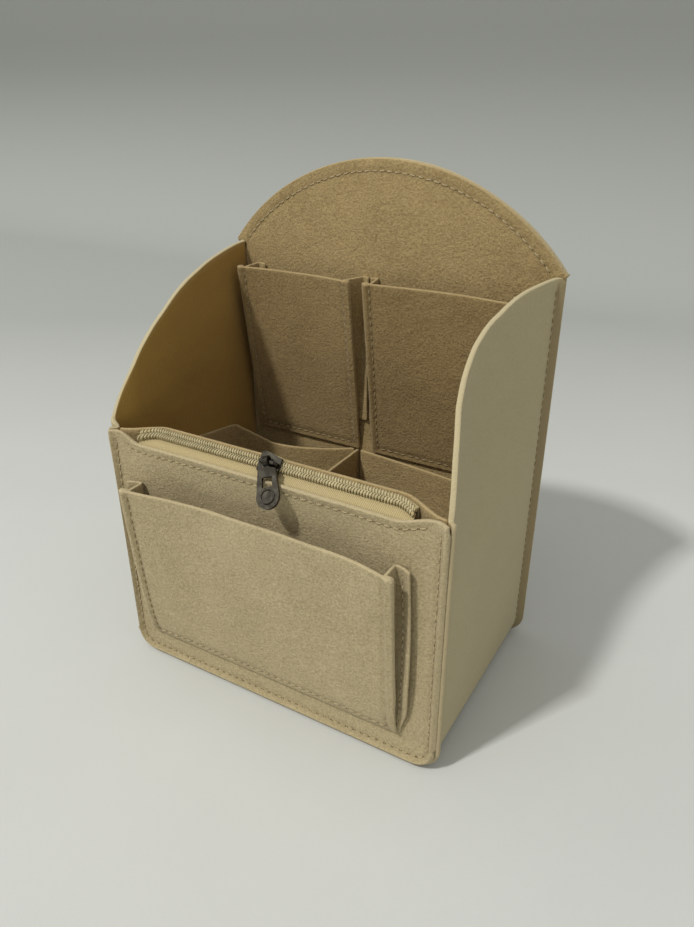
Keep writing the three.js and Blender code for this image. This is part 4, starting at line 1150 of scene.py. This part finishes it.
def make_pockets():
    p = FRONT_POCKET
    body = "front_pocket"
    left = p["left"] + FRONT_RIDGE
    right = p["right"] - FRONT_RIDGE
    rows = [("side", left), ("crease", right), ("bottom", FRONT_HEM)]
    make_pocket(body, "front_pocket_face", body, p, FRONT_RIDGE, 81, FELT, rows)
    for side, x, turn, seed in (("left", left, -1, 85), ("right", right, 1, 87)):
        names = ("front_gusset_" + side, "front_pocket_gusset_" + side)
        make_gusset(*names, body, p, x, turn, FRONT_FLAP, x, FELT, seed, p[side])
    for side, q, turn, seed in (("left", BACK_LEFT, 1, 91), ("right", BACK_RIGHT, -1, 101)):
        body = "back_pocket_" + side
        a = q["left"] + BACK_RIDGE
        b = q["right"] - BACK_RIDGE
        rows = [("side", a), ("side", b), ("bottom", BACK_HEM)]
        make_pocket(body + "_felt", body + "_face", body, q, BACK_RIDGE, seed, FELT_DEEP_SHADE, rows)
        wall_x, pleat_x = (a, b) if side == "left" else (b, a)
        names = (body + "_side", body + "_gusset")
        make_gusset(*names, body, q, wall_x, turn, BACK_FLAP, wall_x, FELT_INNER_SHADE, seed + 3)
        foot = PLEAT_X - turn * (PLEAT_FLAP + GUSSET_FELT / 2 + GAP)
        names = (body + "_fold", body + "_pleat")
        make_gusset(*names, body, q, pleat_x, turn, PLEAT_FLAP, foot, FELT_INNER_SHADE, seed + 5)


# Low pockets and the divider.
def make_low(side, bulge, name, node, seed, flap=LOW_FLAP, turn=LOW_TURN, pull=0.0, rise=0.0):
    """A low pocket; pull draws its wall end forward and rise lifts its rim there."""
    wall_x = side * (HALF - WALL_FELT / 2 - GAP - LOW_FELT / 2)
    wall_y = BACK_FACE_Y - LOW_WALL_DISTANCE
    bend_x = wall_x - side * turn
    end_x = DIVIDER_X + side * (LOW_FELT + 3 * GAP)
    end_y = BACK_FACE_Y - GAP - LOW_FELT / 2
    front = wall_y - pull
    slope = rise * LOW_RIM_SLOPE
    corners = [
        (wall_x, front - flap, rise + slope * flap),
        (wall_x, front - turn, rise + slope * turn),
        (bend_x, front, rise),
    ]
    for t in np.linspace(0, 1, 33)[1:]:
        swell = bulge * max(math.sin(math.pi * min(1, t * 1.02)), 0) ** 0.8
        y = wall_y + (end_y - wall_y) * t ** 2 - swell - pull * max(0, 1 - t / LOW_PULL_SHARE) ** 2
        corners.append((bend_x + (end_x - bend_x) * t, y, rise * max(0, 1 - t / LOW_RISE_SHARE) ** 1.5))
    line = rounded(corners, 90 if rise == 0 else 130, 2)
    t = np.linspace(0, 1, 70)
    low = floor_at(line[:, 0] + side * LOW_FELT / 2, GAP)
    z = low[:, None] + (LOW_HEIGHT + line[:, 2] - low)[:, None] * t[None, :]
    plan = np.repeat(line[:, None, :2], len(t), axis=1)
    points = np.concatenate([plan, z[..., None]], -1)
    sheet = Sheet(points, LOW_FELT, side=1 if grid_normals(points)[45, 30, 1] < 0 else -1)
    sheet.swell(seed)
    us = np.full(120, 4.0)
    vs = np.linspace(4, 68, 120)
    sheet.channel(us, vs, LIGHT_CHANNEL)
    sheet.add(name, FELT_INNER_SHADE, node, "stretched", "wall_strip", "back_inner_felt")
    stitch_row(name + "_stitches", [sheet.at(us, vs)], THREAD, "shell", seed + 1)


def make_divider():
    z = np.linspace(FLOOR_TOP + GAP, LOW_HEIGHT, 60)
    t = np.linspace(0, 1, 80)
    front = lining_y(np.full(len(z), DIVIDER_X), z) + LINING_FELT / 2 + GAP
    rear = BACK_FACE_Y - GAP
    y = front[None, :] + (rear - front)[None, :] * t[:, None]
    zz = np.repeat(z[None, :], len(t), axis=0)
    points = np.stack([np.full_like(y, DIVIDER_X), y, zz], -1)
    free = smooth(np.minimum(t, 1 - t)[:, None] * 5)
    points[..., 0] += DIVIDER_WAVE * noise(points, DIVIDER_WAVE_LENGTH, 121) * free
    sheet = Sheet(points, LOW_FELT)
    sheet.swell(122)
    seats = ("zip_pocket_lining", "back_inner_felt")
    sheet.add("divider", FELT_INNER_SHADE, "centre_divider", "stretched", *seats)


make_strip()
make_panels()
make_lining()
make_tapes()
for side, part in ((-1, "front"), (1, "rear")):
    make_coil(side, part + "_coil", "zip_coil_" + part)
for side, part in ((-1, "front"), (1, "rear")):
    make_core(side, part + "_core")
make_pull_rim()
finish_metal()
make_pockets()
make_low(-1, 5.5, "low_pocket_left", "lower_pocket_left", 111, flap=34.0, turn=1.0, pull=7.0, rise=6.8)
make_low(1, -3.5, "low_pocket_right", "lower_pocket_right", 115)
make_divider()


# Floor and a backdrop that rises behind, with painted shade that darkens it with distance and height
STAGE_DEPTH = 620.0
STAGE_BEND = 260.0
AWAY = (-0.5, 0.866)


def stage_material(name, color, spread):
    n = Nodes(name)
    soft = n.noise(9, 4, 0.6)
    tone = n.mix(n.ramp(soft, 0.3, 0.7), color, [c * spread for c in color[:3]] + [1])
    parts = n.node("ShaderNodeSeparateXYZ", {"Vector": n.place}).outputs
    away = n.total((parts["X"], AWAY[0]), (parts["Y"], AWAY[1]))
    # Painted shade: the backdrop darkens further away and higher up.
    tone = n.mix(n.ramp(away, 0.12, 0.55), tone, srgb(177, 180, 176))
    tone = n.mix(n.ramp(parts["Z"], 0.0, 0.3), tone, srgb(146, 149, 144))
    grain = n.bump(n.noise(900, 3, 0.6), 0.08, 0.0006)
    return n.finish(tone, grain, Roughness=0.9, Specular_IOR_Level=0.2)


def make_stage():
    profile = [(-2000.0, 0.0)] + [(STAGE_DEPTH * t, 0.0) for t in np.linspace(0.1, 0.98, 8)]
    for a in np.linspace(0, math.pi / 2, 24):
        profile.append((STAGE_DEPTH + STAGE_BEND * math.sin(a), STAGE_BEND - STAGE_BEND * math.cos(a)))
    profile.append((STAGE_DEPTH + STAGE_BEND, 2400.0))
    verts = [(x, y - SHIFT_Y, z) for y, z in profile for x in (-3000, 3000)]
    faces = [(2 * i, 2 * i + 1, 2 * i + 3, 2 * i + 2) for i in range(len(profile) - 1)]
    obj = mesh_object("floor", verts, faces, stage_material("floor", srgb(208, 210, 206), 0.965))


make_stage()

# One key light, and a sky that is brighter above than at the sides
AIM = Vector((0.0, 0.0, 0.09))
KEY_WAY = Vector((-0.2547, -0.5492, 0.796))
KEY_DISTANCE = 4.0
WARM_WHITE = (1.0, 0.99, 0.965)
SKY_LOW = 0.29
SKY_HIGH = 0.79
key_data = bpy.data.lights.new("key", "AREA")
key_data.size = 0.3
key_data.energy = 92.0
key_data.color = WARM_WHITE
key = bpy.data.objects.new("key", key_data)
key.location = AIM + KEY_WAY * KEY_DISTANCE
key.rotation_euler = (AIM - key.location).to_track_quat("-Z", "Y").to_euler()
bpy.context.scene.collection.objects.link(key)

world = bpy.data.worlds.new("soft_room")
world.use_nodes = True
sky = world.node_tree.nodes["Background"]
sky.inputs["Color"].default_value = (*WARM_WHITE, 1.0)
place = world.node_tree.nodes.new("ShaderNodeTexCoord")
height = world.node_tree.nodes.new("ShaderNodeSeparateXYZ")
rise = world.node_tree.nodes.new("ShaderNodeMapRange")
rise.inputs["To Min"].default_value = SKY_LOW
rise.inputs["To Max"].default_value = SKY_HIGH
world.node_tree.links.new(place.outputs["Generated"], height.inputs["Vector"])
world.node_tree.links.new(height.outputs["Z"], rise.inputs["Value"])
world.node_tree.links.new(rise.outputs["Result"], sky.inputs["Strength"])
bpy.context.scene.world = world

# Camera at the photograph's angle
YAW = math.radians(-30.331)
PITCH = math.radians(27.049)
ROLL = math.radians(-0.108)
FOCAL_SHARE = 760.11 / 694
camera_data = bpy.data.cameras.new("camera")
camera_data.sensor_fit = "HORIZONTAL"
camera_data.sensor_width = 36.0
camera_data.lens = FOCAL_SHARE * camera_data.sensor_width
camera = bpy.data.objects.new("camera", camera_data)
camera.location = (0.153145, -0.246948 + SHIFT_Y * MM, 0.242817)
forward = Vector((math.sin(YAW) * math.cos(PITCH), math.cos(YAW) * math.cos(PITCH), -math.sin(PITCH)))
camera.rotation_euler = forward.to_track_quat("-Z", "Y").to_euler()
camera.rotation_euler.rotate_axis("Z", ROLL)
camera_data.clip_start = 0.01
bpy.context.scene.collection.objects.link(camera)
bpy.context.scene.camera = camera

bpy.context.scene.view_settings.view_transform = "Standard"
